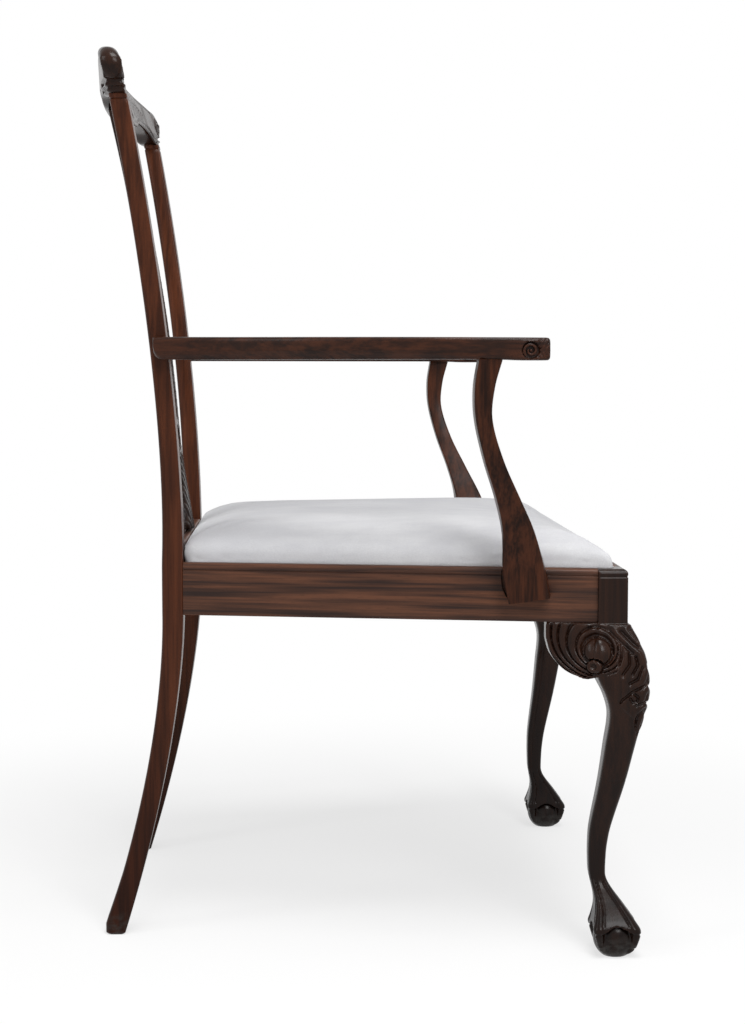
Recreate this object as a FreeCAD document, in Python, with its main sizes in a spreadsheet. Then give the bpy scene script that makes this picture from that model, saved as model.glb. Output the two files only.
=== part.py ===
import FreeCAD, Part
import math
import os
import Sketcher
from FreeCAD import Vector

# Open dining armchair in the Chippendale manner, in millimetres. +Z is up, the chair faces -Y,
# the sitter's left is +X, and the origin lies on the floor under the middle of the chair.
# Left-hand pieces are modelled and the right-hand ones are their mirror images.

SIZES = (
    ("front_reach", 285.3, "middle of the chair to the face of the front seat rail"),
    ("seat_depth", 487.0, "face of the front seat rail to the front of the back posts"),
    ("front_width", 600.0, "width over the front legs at the seat"),
    ("back_width", 424.0, "width over the back posts at the seat"),
    ("rail_top", 428.0, "top edge of the seat rails"),
    ("rail_height", 59.0, "height of the seat rails"),
    ("rail_thick", 28.0, "thickness of the front and side rails"),
    ("back_rail_step", 10.5, "front of the back posts to the front of the back rail"),
    ("back_rail_thick", 31.0, "thickness of the back rail"),
    ("lip_thick", 11.0, "lip of the rails round the drop-in seat"),
    ("rebate_depth", 19.5, "depth of the rebate for the drop-in seat"),
    ("tenon_thick", 9.0, "thickness of the rail tenons"),
    ("tenon_setback", 8.0, "face of a rail to its tenon"),
    ("tenon_shoulder", 8.0, "lower edge of a rail to its tenon"),
    ("tenon_cover", 2.5, "wood between a tenon and the rebate or the next tenon"),
    ("post_tenon", 14.0, "length of the tenons in the back posts"),
    ("joint_gap", 0.15, "glue line round tenons and screws"),
    ("leg_block", 32.5, "square block at the top of a front leg"),
    ("knee_out", 14.0, "how far the knee stands out from the block"),
    ("knee_width", 50.0, "width of the knee"),
    ("calf_width", 37.0, "width of the leg below the knee"),
    ("ankle_in", 11.5, "how far the ankle sets in from the block"),
    ("ankle_width", 18.5, "width of the ankle"),
    ("foot_out", 6.5, "how far the foot stands out from the block"),
    ("ball_radius", 23.0, "ball of the foot"),
    ("ball_height", 22.0, "middle of the ball above the floor"),
    ("claw_reach", 28.0, "middle of the foot to the knuckle of a claw"),
    ("claw_radius", 6.0, "radius of a claw at its knuckle"),
    ("bracket_length", 53.0, "length of a knee bracket along its rail"),
    ("bracket_drop", 62.0, "height of a knee bracket at the leg"),
    ("bracket_thick", 24.0, "thickness of a knee bracket behind the face of the rail"),
    ("bracket_swell", 9.0, "swell of a knee bracket in front of the face of the rail"),
    ("post_depth", 24.0, "back post front to rear at the seat"),
    ("post_width", 36.0, "back post side to side at the seat"),
    ("post_top", 941.0, "shoulder of the back posts under the crest rail"),
    ("post_top_depth", 20.0, "back post front to rear at the crest rail"),
    ("post_top_width", 28.0, "back post side to side at the crest rail"),
    ("post_foot_width", 30.0, "back post side to side at the floor"),
    ("post_waist", 2.5, "thinning of the back leg at mid height"),
    ("post_heel", 2.5, "swell of the back leg at its heel"),
    ("post_round", 5.0, "rounding of the rear edges of the back posts"),
    ("back_rake", 54.5, "how far the back posts lean back at the crest rail"),
    ("foot_rake", 70.0, "how far the back legs kick back at the floor"),
    ("top_spread", 35.0, "how far the back posts spread at the crest rail"),
    ("foot_tuck", 10.5, "how far the back legs draw in at the floor"),
    ("peg_tenon", 16.0, "height of the tenons into the crest rail"),
    ("crest_thick", 25.0, "thickness of the crest rail"),
    ("crest_bow", 18.0, "how far the middle of the crest rail bows back"),
    ("crest_rise", 57.0, "height of the crest rail at its middle"),
    ("ear_rise", 48.5, "height of the ears of the crest rail"),
    ("crest_lean", 17.1, "how far the crest rail leans back over its height"),
    ("crest_edge", 15.5, "thickness of the crest rail along its top"),
    ("ear_reach", 24.0, "how far an ear stands out past the back post"),
    ("shoe_height", 18.0, "height of the splat shoe"),
    ("shoe_gap", 2.0, "gap between the splat shoe and a back post"),
    ("splat_thick", 13.0, "thickness of the splat"),
    ("splat_tenon", 9.0, "thickness of the splat tenons"),
    ("strap_width", 14.0, "width of the outer straps of the splat"),
    ("inner_strap_width", 11.5, "width of the interlaced straps of the splat"),
    ("splat_ring", 22.0, "radius of the ring where the straps cross"),
    ("arm_bottom", 654.5, "underside of the arms"),
    ("arm_thick", 22.5, "thickness of an arm at its front"),
    ("arm_rise", 2.5, "how far the top of an arm climbs to the post"),
    ("arm_tail", 29.0, "front of the back posts at the seat to the rear end of an arm"),
    ("arm_length", 417.5, "length of an arm"),
    ("arm_spread", 372.0, "middle of the chair to the outside of an arm at its front"),
    ("arm_housing", 6.0, "notch in an arm round the back post"),
    ("support_top", 127.8, "middle of the chair forward to the head of an arm support"),
    ("support_sweep", 48.0, "how far an arm support sweeps forward to its foot"),
    ("support_bottom", 394.0, "lower end of an arm support"),
    ("support_thick", 28.0, "thickness of an arm support"),
    ("support_housing", 5.0, "depth of an arm support's housing in the side rail"),
    ("support_foot", 45.0, "width of an arm support at the rail"),
    ("support_waist", 17.5, "width of an arm support at its waist"),
    ("support_head", 22.5, "width of an arm support at its head"),
    ("support_peg", 6.0, "radius of the round tenon on an arm support"),
    ("peg_length", 12.0, "length of the round tenon on an arm support"),
    ("block_height", 26.0, "height of the corner blocks"),
    ("block_leg", 56.0, "length of a corner block along a rail"),
    ("screw_radius", 2.2, "shank of the screws"),
    ("screw_head", 4.2, "radius of the screw heads"),
    ("head_height", 3.0, "height of the screw heads"),
    ("screw_bite", 14.0, "depth of the screws in the arm or support"),
    ("seat_gap", 1.5, "play of the drop-in seat in its rebate"),
    ("seat_rest", 0.3, "play under the drop-in seat"),
    ("cover_thick", 1.2, "thickness of the seat cover"),
    ("cover_slack", 0.3, "play of the cover on the stuffing and frame"),
    ("frame_thick", 19.0, "thickness of the seat frame"),
    ("frame_width", 52.0, "width of the seat frame rails"),
    ("frame_clip", 14.0, "clipped corners of the seat frame"),
    ("web_thick", 1.5, "thickness of the webbing"),
    ("web_width", 50.0, "width of the webbing"),
    ("web_lap", 26.0, "lap of the webbing on the seat frame"),
    ("hessian_thick", 0.8, "thickness of the hessian"),
    ("seat_crown", 55.0, "crown of the seat above the rails"),
    ("cover_margin", 32.0, "cover turned under the seat frame"),
    ("cloth_inset", 19.0, "edge of the seat to the edge of the bottom cloth"),
    ("cloth_thick", 0.8, "thickness of the bottom cloth"),
    ("tack_inset", 25.0, "edge of the seat to the tacks"),
    ("tack_head", 3.5, "radius of the tack heads"),
    ("tack_length", 9.0, "length of the tacks"),
)

doc = FreeCAD.newDocument("armchair")
sheet = doc.addObject("Spreadsheet::Sheet", "Sizes")
for row, (alias, value, note) in enumerate(SIZES, start=1):
    sheet.set(f"A{row}", note)
    sheet.set(f"B{row}", str(value))
    sheet.setAlias(f"B{row}", alias)
doc.recompute()


def size(alias):
    """Return one size from the sheet."""
    return float(sheet.get(alias))


def number(expression):
    """Return the present value of an expression on the sheet."""
    return float(sheet.evalExpression(expression))


def mix(start, end, share):
    return start + (end - start) * share


# Places that several pieces share, as expressions on the sheet.
FRONT_Y = "(-Sizes.front_reach)"
POST_Y = "(Sizes.seat_depth - Sizes.front_reach)"
TAPER = "((Sizes.front_width - Sizes.back_width) / 2 / Sizes.seat_depth)"
RAIL_BOTTOM = "(Sizes.rail_top - Sizes.rail_height)"
LEDGE = "(Sizes.rail_top - Sizes.rebate_depth)"
BLOCK_Y = "(Sizes.leg_block - Sizes.front_reach)"
BLOCK_X = "(Sizes.front_width / 2 - Sizes.leg_block)"
POST_OUT = "(Sizes.back_width / 2)"
POST_IN = "(Sizes.back_width / 2 - Sizes.post_width)"
TENON_BOTTOM = f"({RAIL_BOTTOM} + Sizes.tenon_shoulder)"
TENON_HEIGHT = f"({LEDGE} - Sizes.tenon_cover - {TENON_BOTTOM})"
LEG_TENON = "(Sizes.leg_block - Sizes.tenon_setback - Sizes.tenon_thick - Sizes.tenon_cover)"
BACK_TENON = "(Sizes.post_width - Sizes.tenon_setback - Sizes.tenon_thick - 2 * Sizes.tenon_cover)"
BACK_RAIL_Y = f"({POST_Y} - Sizes.back_rail_step)"
BACK_RAIL_END = f"({BACK_RAIL_Y} + Sizes.back_rail_thick)"
SHOE_TOP = "(Sizes.rail_top + Sizes.shoe_height)"
COVER_INSET = "Sizes.seat_gap"
FRAME_INSET = "(Sizes.seat_gap + Sizes.cover_thick + Sizes.cover_slack)"
SEAT_BOTTOM = f"({LEDGE} + Sizes.seat_rest)"
FRAME_BOTTOM = f"({SEAT_BOTTOM} + Sizes.cover_thick)"
FRAME_TOP = f"({FRAME_BOTTOM} + Sizes.frame_thick)"
HESSIAN_TOP = f"({FRAME_TOP} + 2 * Sizes.web_thick + Sizes.hessian_thick)"
ARM_END = f"({POST_Y} + Sizes.arm_tail)"
BLOCK_BOTTOM = f"({LEDGE} - Sizes.tenon_shoulder - Sizes.block_height)"


def side_x(y, inset="0"):
    """Expression for the outer face of the left side rail at y, less an inset."""
    return f"(Sizes.front_width / 2 - {TAPER} * ({y} + Sizes.front_reach) - {inset})"


def new_body(label):
    body = doc.addObject("PartDesign::Body", label)
    body.Label = label
    return body


def prism(body, label, corners, bottom, height):
    """Pad a plan outline, given by expressions for its corners, from a level upwards."""
    sketch = body.newObject("Sketcher::SketchObject", f"{label}_outline")
    plane = next(f for f in body.Origin.OriginFeatures if f.Role == "XY_Plane")
    sketch.AttachmentSupport = [(plane, "")]
    sketch.MapMode = "FlatFace"
    sketch.setExpression("AttachmentOffset.Base.z", bottom)
    points = [Vector(number(x), number(y), 0) for x, y in corners]
    count = len(points)
    for i in range(count):
        sketch.addGeometry(Part.LineSegment(points[i], points[(i + 1) % count]), False)
    for i in range(count):
        sketch.addConstraint(Sketcher.Constraint("Coincident", i, 2, (i + 1) % count, 1))
    for i, (x, y) in enumerate(corners):
        for kind, place, text in (("DistanceX", points[i].x, x), ("DistanceY", points[i].y, y)):
            index = sketch.addConstraint(Sketcher.Constraint(kind, -1, 1, i, 1, place))
            sketch.setExpression(f"Constraints[{index}]", text)
    pad = body.newObject("PartDesign::Pad", f"{label}_pad")
    pad.Profile = sketch
    pad.setExpression("Length", height)
    return pad


def plate(label, corners, bottom, height):
    """A body made of one padded plan outline."""
    body = new_body(label)
    prism(body, label, corners, bottom, height)
    return body


def rectangle(x0, x1, y0, y1):
    return [(x0, y0), (x1, y0), (x1, y1), (x0, y1)]


def across(corners):
    """Make a left-hand outline into one that spans both sides."""
    return corners + [(f"-{x}", y) for x, y in reversed(corners)]


def form(label, shape):
    """A free-form piece whose shape is worked out from the sizes on the sheet."""
    piece = doc.addObject("Part::Feature", label)
    piece.Label = label
    piece.Shape = shape
    return piece


def joined(label, pieces):
    union = doc.addObject("Part::MultiFuse", label)
    union.Label = label
    union.Shapes = pieces
    return union


def group(label, pieces):
    together = doc.addObject("Part::Compound", label)
    together.Label = label
    together.Links = pieces
    return together


def cut(label, base, tools):
    """A piece with mortises, rebates or bores taken out of it."""
    piece = base
    for i, tool in enumerate(tools):
        last = i == len(tools) - 1
        step = doc.addObject("Part::Cut", label if last else f"{label}_step")
        step.Base = piece
        step.Tool = tool
        piece = step
    piece.Label = label
    return piece


def mirrored(label, source):
    twin = doc.addObject("Part::Mirroring", label)
    twin.Label = label
    twin.Source = source
    twin.Base = Vector(0, 0, 0)
    twin.Normal = Vector(1, 0, 0)
    return twin


def rod(label, radius, length, base, direction):
    """A round bar from base along a direction, with sizes bound to the sheet."""
    bar = doc.addObject("Part::Cylinder", label)
    bar.setExpression("Radius", radius)
    bar.setExpression("Height", length)
    turn = FreeCAD.Rotation(Vector(0, 0, 1), direction)
    bar.Placement = FreeCAD.Placement(Vector(0, 0, 0), turn)
    for axis, place in zip("xyz", base):
        bar.setExpression(f"Placement.Base.{axis}", place)
    return bar


def rounded(points, radii):
    """A closed wire through corner points, each corner rounded by its radius."""
    count = len(points)
    starts = []
    ends = []
    middles = []
    for i, corner in enumerate(points):
        before = (points[i - 1] - corner).normalize()
        after = (points[(i + 1) % count] - corner).normalize()
        half = before.getAngle(after) / 2
        reach = radii[i] / math.tan(half)
        starts.append(corner + before * reach)
        ends.append(corner + after * reach)
        inward = (before + after).normalize()
        middles.append(corner + inward * (radii[i] / math.sin(half) - radii[i]))
    edges = []
    for i in range(count):
        if radii[i] > 0:
            edges.append(Part.Arc(starts[i], middles[i], ends[i]).toShape())
        edges.append(Part.LineSegment(ends[i], starts[(i + 1) % count]).toShape())
    return Part.Wire(edges)


def loft(wires):
    return Part.makeLoft(wires, True, False)


def smooth(points):
    """A smooth open curve through points."""
    curve = Part.BSplineCurve()
    curve.interpolate(points)
    return curve


# Seat rails. The well is the space that the drop-in seat takes out of the rails and leg blocks.

def seat_outline(inset):
    """Left half of the seat's plan, at an inset from the lip."""
    front = f"({FRONT_Y} + Sizes.lip_thick + {inset})"
    back = f"({POST_Y} - {inset})"
    lip = f"(Sizes.lip_thick + {inset})"
    return [(side_x(front, lip), front), (side_x(back, lip), back)]


well = plate("seat_well", across(seat_outline("0")), LEDGE, "(Sizes.rebate_depth + 30)")


def side_tenon(y0, y1, gap):
    outer = f"(Sizes.tenon_setback - {gap})"
    inner = f"(Sizes.tenon_setback + Sizes.tenon_thick + {gap})"
    return [(side_x(y0, inner), y0), (side_x(y0, outer), y0), (side_x(y1, outer), y1), (side_x(y1, inner), y1)]


def tenon_levels(gap):
    return f"({TENON_BOTTOM} - {gap})", f"({TENON_HEIGHT} + 2 * {gap})"


GAP = "Sizes.joint_gap"
LEG_TENON_END = f"({BLOCK_Y} - {LEG_TENON})"
POST_TENON_END = f"({POST_Y} + Sizes.post_tenon)"

side_blank = new_body("side_rail_blank")
prism(side_blank, "side_rail", [
    (side_x(BLOCK_Y, "Sizes.rail_thick"), BLOCK_Y), (side_x(BLOCK_Y), BLOCK_Y),
    (side_x(POST_Y), POST_Y), (side_x(POST_Y, "Sizes.rail_thick"), POST_Y)], RAIL_BOTTOM, "Sizes.rail_height")
prism(side_blank, "side_rail_front_tenon", side_tenon(LEG_TENON_END, BLOCK_Y, "0"), *tenon_levels("0"))
prism(side_blank, "side_rail_back_tenon", side_tenon(POST_Y, POST_TENON_END, "0"), *tenon_levels("0"))

front_blank = new_body("front_rail_blank")
front_tenon_y = f"({FRONT_Y} + Sizes.tenon_setback)"
front_tenon_x = f"({BLOCK_X} + {LEG_TENON})"
prism(front_blank, "front_rail", across([
    (BLOCK_X, FRONT_Y), (BLOCK_X, f"({FRONT_Y} + Sizes.rail_thick)")]), RAIL_BOTTOM, "Sizes.rail_height")
prism(front_blank, "front_rail_tenons", across([
    (front_tenon_x, front_tenon_y), (front_tenon_x, f"({front_tenon_y} + Sizes.tenon_thick)")]),
    *tenon_levels("0"))
front_rail = cut("front_seat_rail", front_blank, [well])

back_tenon_y = f"({POST_Y} + Sizes.tenon_setback)"
back_tenon_x = f"({POST_IN} + {BACK_TENON})"
back_blank = new_body("back_rail_blank")
prism(back_blank, "back_rail", across([
    (POST_IN, BACK_RAIL_Y), (POST_IN, BACK_RAIL_END)]), RAIL_BOTTOM, "Sizes.rail_height")
prism(back_blank, "back_rail_tenons", across([
    (back_tenon_x, back_tenon_y), (back_tenon_x, f"({back_tenon_y} + Sizes.tenon_thick)")]),
    *tenon_levels("0"))
back_rail = cut("back_seat_rail", back_blank, [well])


# Back posts: a straight stretch at the seat, a leg that kicks back and an upright that leans back.

def post_section(z, front, depth, outer, width):
    round_off = size("post_round")
    corners = [Vector(outer, front, z), Vector(outer, front + depth, z),
               Vector(outer - width, front + depth, z), Vector(outer - width, front, z)]
    return rounded(corners, [0, round_off, round_off, 0])


def upper_post(share):
    """Section of the upright at a share of its height above the rails."""
    z = mix(size("rail_top"), size("post_top"), share)
    front = number(POST_Y) + size("back_rake") * share ** 1.75
    depth = mix(size("post_top_depth"), size("post_depth"), (1 - share) ** 6)
    outer = number(POST_OUT) + size("top_spread") * share ** 1.4
    return z, front, depth, outer, mix(size("post_width"), size("post_top_width"), share)


def lower_post(share):
    """Section of the back leg at a share of its height below the rails."""
    z = number(RAIL_BOTTOM) * (1 - share)
    front = number(POST_Y) + size("foot_rake") * share ** 1.63
    depth = size("post_depth") - size("post_waist") * math.sin(math.pi * share)
    depth += size("post_heel") * max(0.0, share - 0.8) / 0.2
    outer = number(POST_OUT) - size("foot_tuck") * share
    return z, front, depth, outer, mix(size("post_width"), size("post_foot_width"), share)


upright = loft([post_section(*upper_post(s)) for s in (0, 0.07, 0.16, 0.3, 0.45, 0.6, 0.74, 0.87, 1)])
back_leg = loft([post_section(*lower_post(s)) for s in (0, 0.12, 0.25, 0.4, 0.55, 0.7, 0.8, 0.88, 0.94, 1)])
seat_stretch = Part.Face(post_section(*lower_post(0))).extrude(Vector(0, 0, size("rail_height")))
crest_z, crest_front, crest_depth, crest_outer, crest_width = upper_post(1)


def post_tenon(gap):
    """Tenon on top of the left back post, or its mortise."""
    length = crest_width / 2 + 2 * gap
    thick = crest_depth / 2 + 2 * gap
    corner = Vector(crest_outer - crest_width / 2 - length / 2, crest_front + crest_depth / 2 - thick / 2, crest_z)
    return Part.makeBox(length, thick, size("peg_tenon") + 4 * gap, corner)


post_form = form("back_post_form", back_leg.fuse([seat_stretch, upright, post_tenon(0)]).removeSplitter())
side_mortise = plate("side_rail_mortise", side_tenon(
    f"({POST_Y} - 2)", f"({POST_TENON_END} + 4 * {GAP})", GAP), *tenon_levels(GAP))
back_mortise = plate("back_rail_mortise", rectangle(
    f"({POST_IN} - 2)", f"({back_tenon_x} + 4 * {GAP})",
    f"({back_tenon_y} - {GAP})", f"({back_tenon_y} + Sizes.tenon_thick + {GAP})"), *tenon_levels(GAP))


# Arms: bowed outwards in plan, with a chamfer under the outer edge and a rounded nose.
# Each row is the share of the length from the post, the outside and the inside as shares
# between the post and the front spread, and the shares of the thickness and the chamfer.

ARM_ROWS = (
    (0.0, 0.0, 0.0, 1.0, 0.7),
    (0.07, 0.035, 0.018, 1.0, 0.75),
    (0.17, 0.135, 0.095, 1.0, 0.85),
    (0.29, 0.32, 0.24, 1.0, 1.0),
    (0.42, 0.54, 0.44, 1.0, 1.0),
    (0.565, 0.745, 0.64, 1.0, 1.0),
    (0.71, 0.89, 0.8, 1.0, 0.8),
    (0.83, 0.96, 0.915, 1.0, 0.3),
    (0.92, 1.0, 1.0, 1.0, 0.25),
    (0.97, 0.99, 1.03, 0.98, 0.25),
    (1.0, 0.95, 1.08, 0.75, 0.25),
)
ARM_TAIL_WIDTH = 28.0
ARM_FRONT_WIDTH = 38.0
ARM_ROUND = 4.0
ARM_CHAMFER = 7.0


def post_face(z):
    """Outer face of the left back post at a height above the rails."""
    share = (z - size("rail_top")) / (size("post_top") - size("rail_top"))
    return upper_post(share)[3]


def arm_section(share, out, inside, thick, chamfer):
    y = number(ARM_END) - size("arm_length") * share
    tail_in = post_face(size("arm_bottom")) - size("arm_housing")
    outer = mix(tail_in + ARM_TAIL_WIDTH, size("arm_spread"), out)
    inner = mix(tail_in, size("arm_spread") - ARM_FRONT_WIDTH, inside)
    low = size("arm_bottom")
    high = low + (size("arm_thick") + size("arm_rise") * (1 - share)) * thick
    bevel = ARM_CHAMFER * chamfer
    corners = [Vector(inner, y, low), Vector(outer - bevel, y, low), Vector(outer, y, low + bevel),
               Vector(outer, y, high), Vector(inner, y, high)]
    return rounded(corners, [2.0, 0, 0, ARM_ROUND, ARM_ROUND])


arm_form = form("arm_form", loft([arm_section(*row) for row in ARM_ROWS]))
upright_form = form("upright_form", upright)


# Arm supports: an S-curve from the side rail out to the arm. Each row is the share of the height,
# of the forward sweep and of the outward spread, and how much of the foot and head width it has.

SUPPORT_ROWS = (
    (0.0, 1.0, 0.0, 0.94, 0.0),
    (0.14, 0.88, 0.04, 1.0, 0.0),
    (0.295, 0.75, 0.24, 0.6, 0.0),
    (0.43, 0.48, 0.48, 0.3, 0.0),
    (0.595, 0.115, 0.75, 0.09, 0.0),
    (0.76, -0.13, 0.91, 0.0, 0.0),
    (0.887, -0.125, 0.97, 0.0, 0.5),
    (1.0, 0.0, 1.0, 0.0, 1.0),
)
SUPPORT_ROUND = 4.0
SUPPORT_INSET = 6.0
SUPPORT_Y = "(-Sizes.support_top - Sizes.support_sweep)"
support_turn = math.atan(number(TAPER))


def support_place(share, sweep, spread):
    """Middle of an arm support's section."""
    z = mix(size("support_bottom"), size("arm_bottom"), share)
    y = -size("support_top") - size("support_sweep") * sweep
    thick = size("support_thick")
    foot_x = number(side_x(SUPPORT_Y)) - size("support_housing") + thick / 2
    head_x = size("arm_spread") - SUPPORT_INSET - thick / 2
    return Vector(mix(foot_x, head_x, spread), y, z)


def support_section(share, sweep, spread, foot, head):
    middle = support_place(share, sweep, spread)
    waist = size("support_waist")
    width = waist + (size("support_foot") - waist) * foot + (size("support_head") - waist) * head
    along = Vector(-math.sin(support_turn), math.cos(support_turn), 0) * (width / 2)
    outward = Vector(math.cos(support_turn), math.sin(support_turn), 0) * (size("support_thick") / 2)
    corners = [middle - along - outward, middle - along + outward, middle + along + outward, middle + along - outward]
    return rounded(corners, [1.0, SUPPORT_ROUND, SUPPORT_ROUND, 1.0])


support_body = form("arm_support_form", loft([support_section(*row) for row in SUPPORT_ROWS]))
support_head = support_place(1.0, 0.0, 1.0)


def support_peg(label, gap):
    base = (f"{support_head.x}", f"{support_head.y}", f"(Sizes.arm_bottom - {GAP})")
    return rod(label, f"(Sizes.support_peg + {gap})", f"(Sizes.peg_length + {GAP} + 4 * {gap})", base, Vector(0, 0, 1))


# Screws: one from each back post into the arm, two from each side rail into the arm support.

arm_screw_y = f"({ARM_END} - 10)"
arm_screw_z = "(Sizes.arm_bottom + Sizes.arm_thick / 2)"
arm_face = post_face(size("arm_bottom"))
arm_share = (size("arm_bottom") - size("rail_top")) / (size("post_top") - size("rail_top"))
arm_screw_start = arm_face - upper_post(arm_share)[4] + 4.0
arm_screw_length = f"(Sizes.screw_bite + {arm_face - arm_screw_start})"
support_screw_z = f"({LEDGE} - 8)"
support_screw_ys = (f"({SUPPORT_Y} - 9)", f"({SUPPORT_Y} + 11)")


def screw(label, start, y, z, length, gap, mouth):
    """A round-headed screw along +X, or its bore with a mouth behind the head."""
    head = rod(f"{label}_head", f"(Sizes.screw_head + {gap})", f"(Sizes.head_height + {mouth} + {gap})",
               (f"({start} - {mouth})", y, z), Vector(1, 0, 0))
    shank = rod(f"{label}_shank", f"(Sizes.screw_radius + {gap})", f"({length} + {gap})",
                (start, y, z), Vector(1, 0, 0))
    return joined(label, [head, shank])


arm_screw = screw("left_arm_screw", f"{arm_screw_start}", arm_screw_y, arm_screw_z, arm_screw_length, "0", "0")
arm_bore = screw("arm_screw_bore", f"{arm_screw_start}", arm_screw_y, arm_screw_z, arm_screw_length, GAP, "20")
support_screws = []
support_bores = []
for i, y in enumerate(support_screw_ys):
    start = f"({side_x(y, 'Sizes.rail_thick')} + 2)"
    length = "(Sizes.rail_thick - 2 - Sizes.support_housing + Sizes.screw_bite)"
    support_screws.append(screw(f"support_screw_{i}", start, y, support_screw_z, length, "0", "0"))
    support_bores.append(screw(f"support_bore_{i}", start, y, support_screw_z, length, GAP, "8"))
support_screw_pair = group("left_support_screws", support_screws)

support = cut("left_arm_support", joined("support_with_peg", [support_body, support_peg("support_peg_bar", "0")]),
              support_bores)
side_rail = cut("left_side_rail", side_blank, [well, support_body] + support_bores)
post = cut("left_back_post", post_form, [side_mortise, back_mortise, arm_bore])
arm = cut("left_arm", arm_form, [upright_form, support_peg("support_peg_hole", GAP), arm_bore])


# Front legs: block, cabriole shaft, ball and claws. The shaft's sections are rounded squares
# whose middles move along the diagonal of the block.

def leg_section(z, out, width, corner):
    middle = Vector(number(BLOCK_X) + size("leg_block") / 2 + out, number(BLOCK_Y) - size("leg_block") / 2 - out, z)
    half = width / 2
    corners = [middle + Vector(-half, -half, 0), middle + Vector(half, -half, 0),
               middle + Vector(half, half, 0), middle + Vector(-half, half, 0)]
    return rounded(corners, [corner] * 4)


def leg_rows():
    """Height, outward shift, width and corner radius of the shaft's sections."""
    top = number(RAIL_BOTTOM)
    block, knee, calf, ankle = (size(n) for n in ("leg_block", "knee_width", "calf_width", "ankle_width"))
    out, tuck, foot = size("knee_out"), size("ankle_in"), size("foot_out")
    return (
        (top, 0.0, block, 1.0),
        (top * 0.95, out * 0.34, mix(block, knee, 0.6), 4.0),
        (top * 0.9, out * 0.6, mix(block, knee, 0.93), 7.0),
        (top * 0.845, out * 0.81, knee, 9.0),
        (top * 0.785, out * 0.98, mix(calf, knee, 0.64), 10.0),
        (top * 0.73, out, calf, 9.5),
        (top * 0.64, out * 0.63, mix(ankle, calf, 0.8), 9.0),
        (top * 0.52, mix(-tuck, out, 0.51), mix(ankle, calf, 0.56), 8.0),
        (top * 0.38, mix(-tuck, out, 0.1), mix(ankle, calf, 0.25), 7.0),
        (top * 0.27, -tuck, ankle, 6.0),
        (top * 0.215, mix(-tuck, foot, 0.11), ankle * 0.98, 6.0),
        (top * 0.16, mix(-tuck, foot, 0.56), ankle * 1.46, 7.5),
        (top * 0.115, mix(-tuck, foot, 0.88), ankle * 2.2, 9.0),
        (top * 0.092, foot, ankle * 2.6, 10.0),
    )


# Claw stations: height, share of the way from the ankle to the foot, reach and radius shares.
CLAW_ROWS = (
    (84.0, 0.04, 0.3, 0.44),
    (66.0, 0.41, 0.42, 0.58),
    (49.0, 0.77, 0.69, 0.76),
    (32.0, 1.0, 1.0, 1.0),
    (18.0, 1.0, 0.91, 0.87),
    (5.0, 1.0, 0.62, 0.65),
)


def claw(direction):
    base = Vector(number(BLOCK_X) + size("leg_block") / 2, number(BLOCK_Y) - size("leg_block") / 2, 0)
    places = []
    for z, share, reach, _ in CLAW_ROWS:
        shift = mix(-size("ankle_in"), size("foot_out"), share)
        places.append(base + Vector(shift, -shift, z) + direction * (size("claw_reach") * reach))
    path = smooth(places)
    wires = []
    for place, row in zip(places, CLAW_ROWS):
        along = Vector(*path.tangent(path.parameter(place))[0])
        circle = Part.Circle(place, along, size("claw_radius") * row[3])
        wires.append(Part.Wire(circle.toShape()))
    return loft(wires)


def front_leg():
    block = Part.makeBox(size("leg_block"), size("leg_block"), size("rail_height"),
                         Vector(number(BLOCK_X), number(FRONT_Y), number(RAIL_BOTTOM)))
    shaft = loft([leg_section(*row) for row in leg_rows()])
    reach = size("leg_block") / 2 + size("foot_out")
    middle = Vector(number(BLOCK_X) + reach, number(BLOCK_Y) - reach, size("ball_height"))
    ball = Part.makeSphere(size("ball_radius"), middle)
    floor = Part.makeBox(200, 200, 100, Vector(middle.x - 100, middle.y - 100, -100))
    diagonals = [Vector(a, b, 0).normalize() for a, b in ((1, 1), (1, -1), (-1, 1), (-1, -1))]
    foot = ball.fuse([claw(d) for d in diagonals]).cut(floor)
    return block.fuse([shaft, foot])


leg_form = form("front_leg_form", front_leg())
leg_side_mortise = plate("leg_side_mortise", side_tenon(
    f"({LEG_TENON_END} - 4 * {GAP})", f"({BLOCK_Y} + 2)", GAP), *tenon_levels(GAP))
leg_front_mortise = plate("leg_front_mortise", rectangle(
    f"({BLOCK_X} - 2)", f"({front_tenon_x} + 4 * {GAP})",
    f"({front_tenon_y} - {GAP})", f"({front_tenon_y} + Sizes.tenon_thick + {GAP})"), *tenon_levels(GAP))
leg = cut("left_front_leg", leg_form, [well, leg_side_mortise, leg_front_mortise])


# Knee brackets: sawn to a curve below and swelling out to meet the knee.

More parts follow.
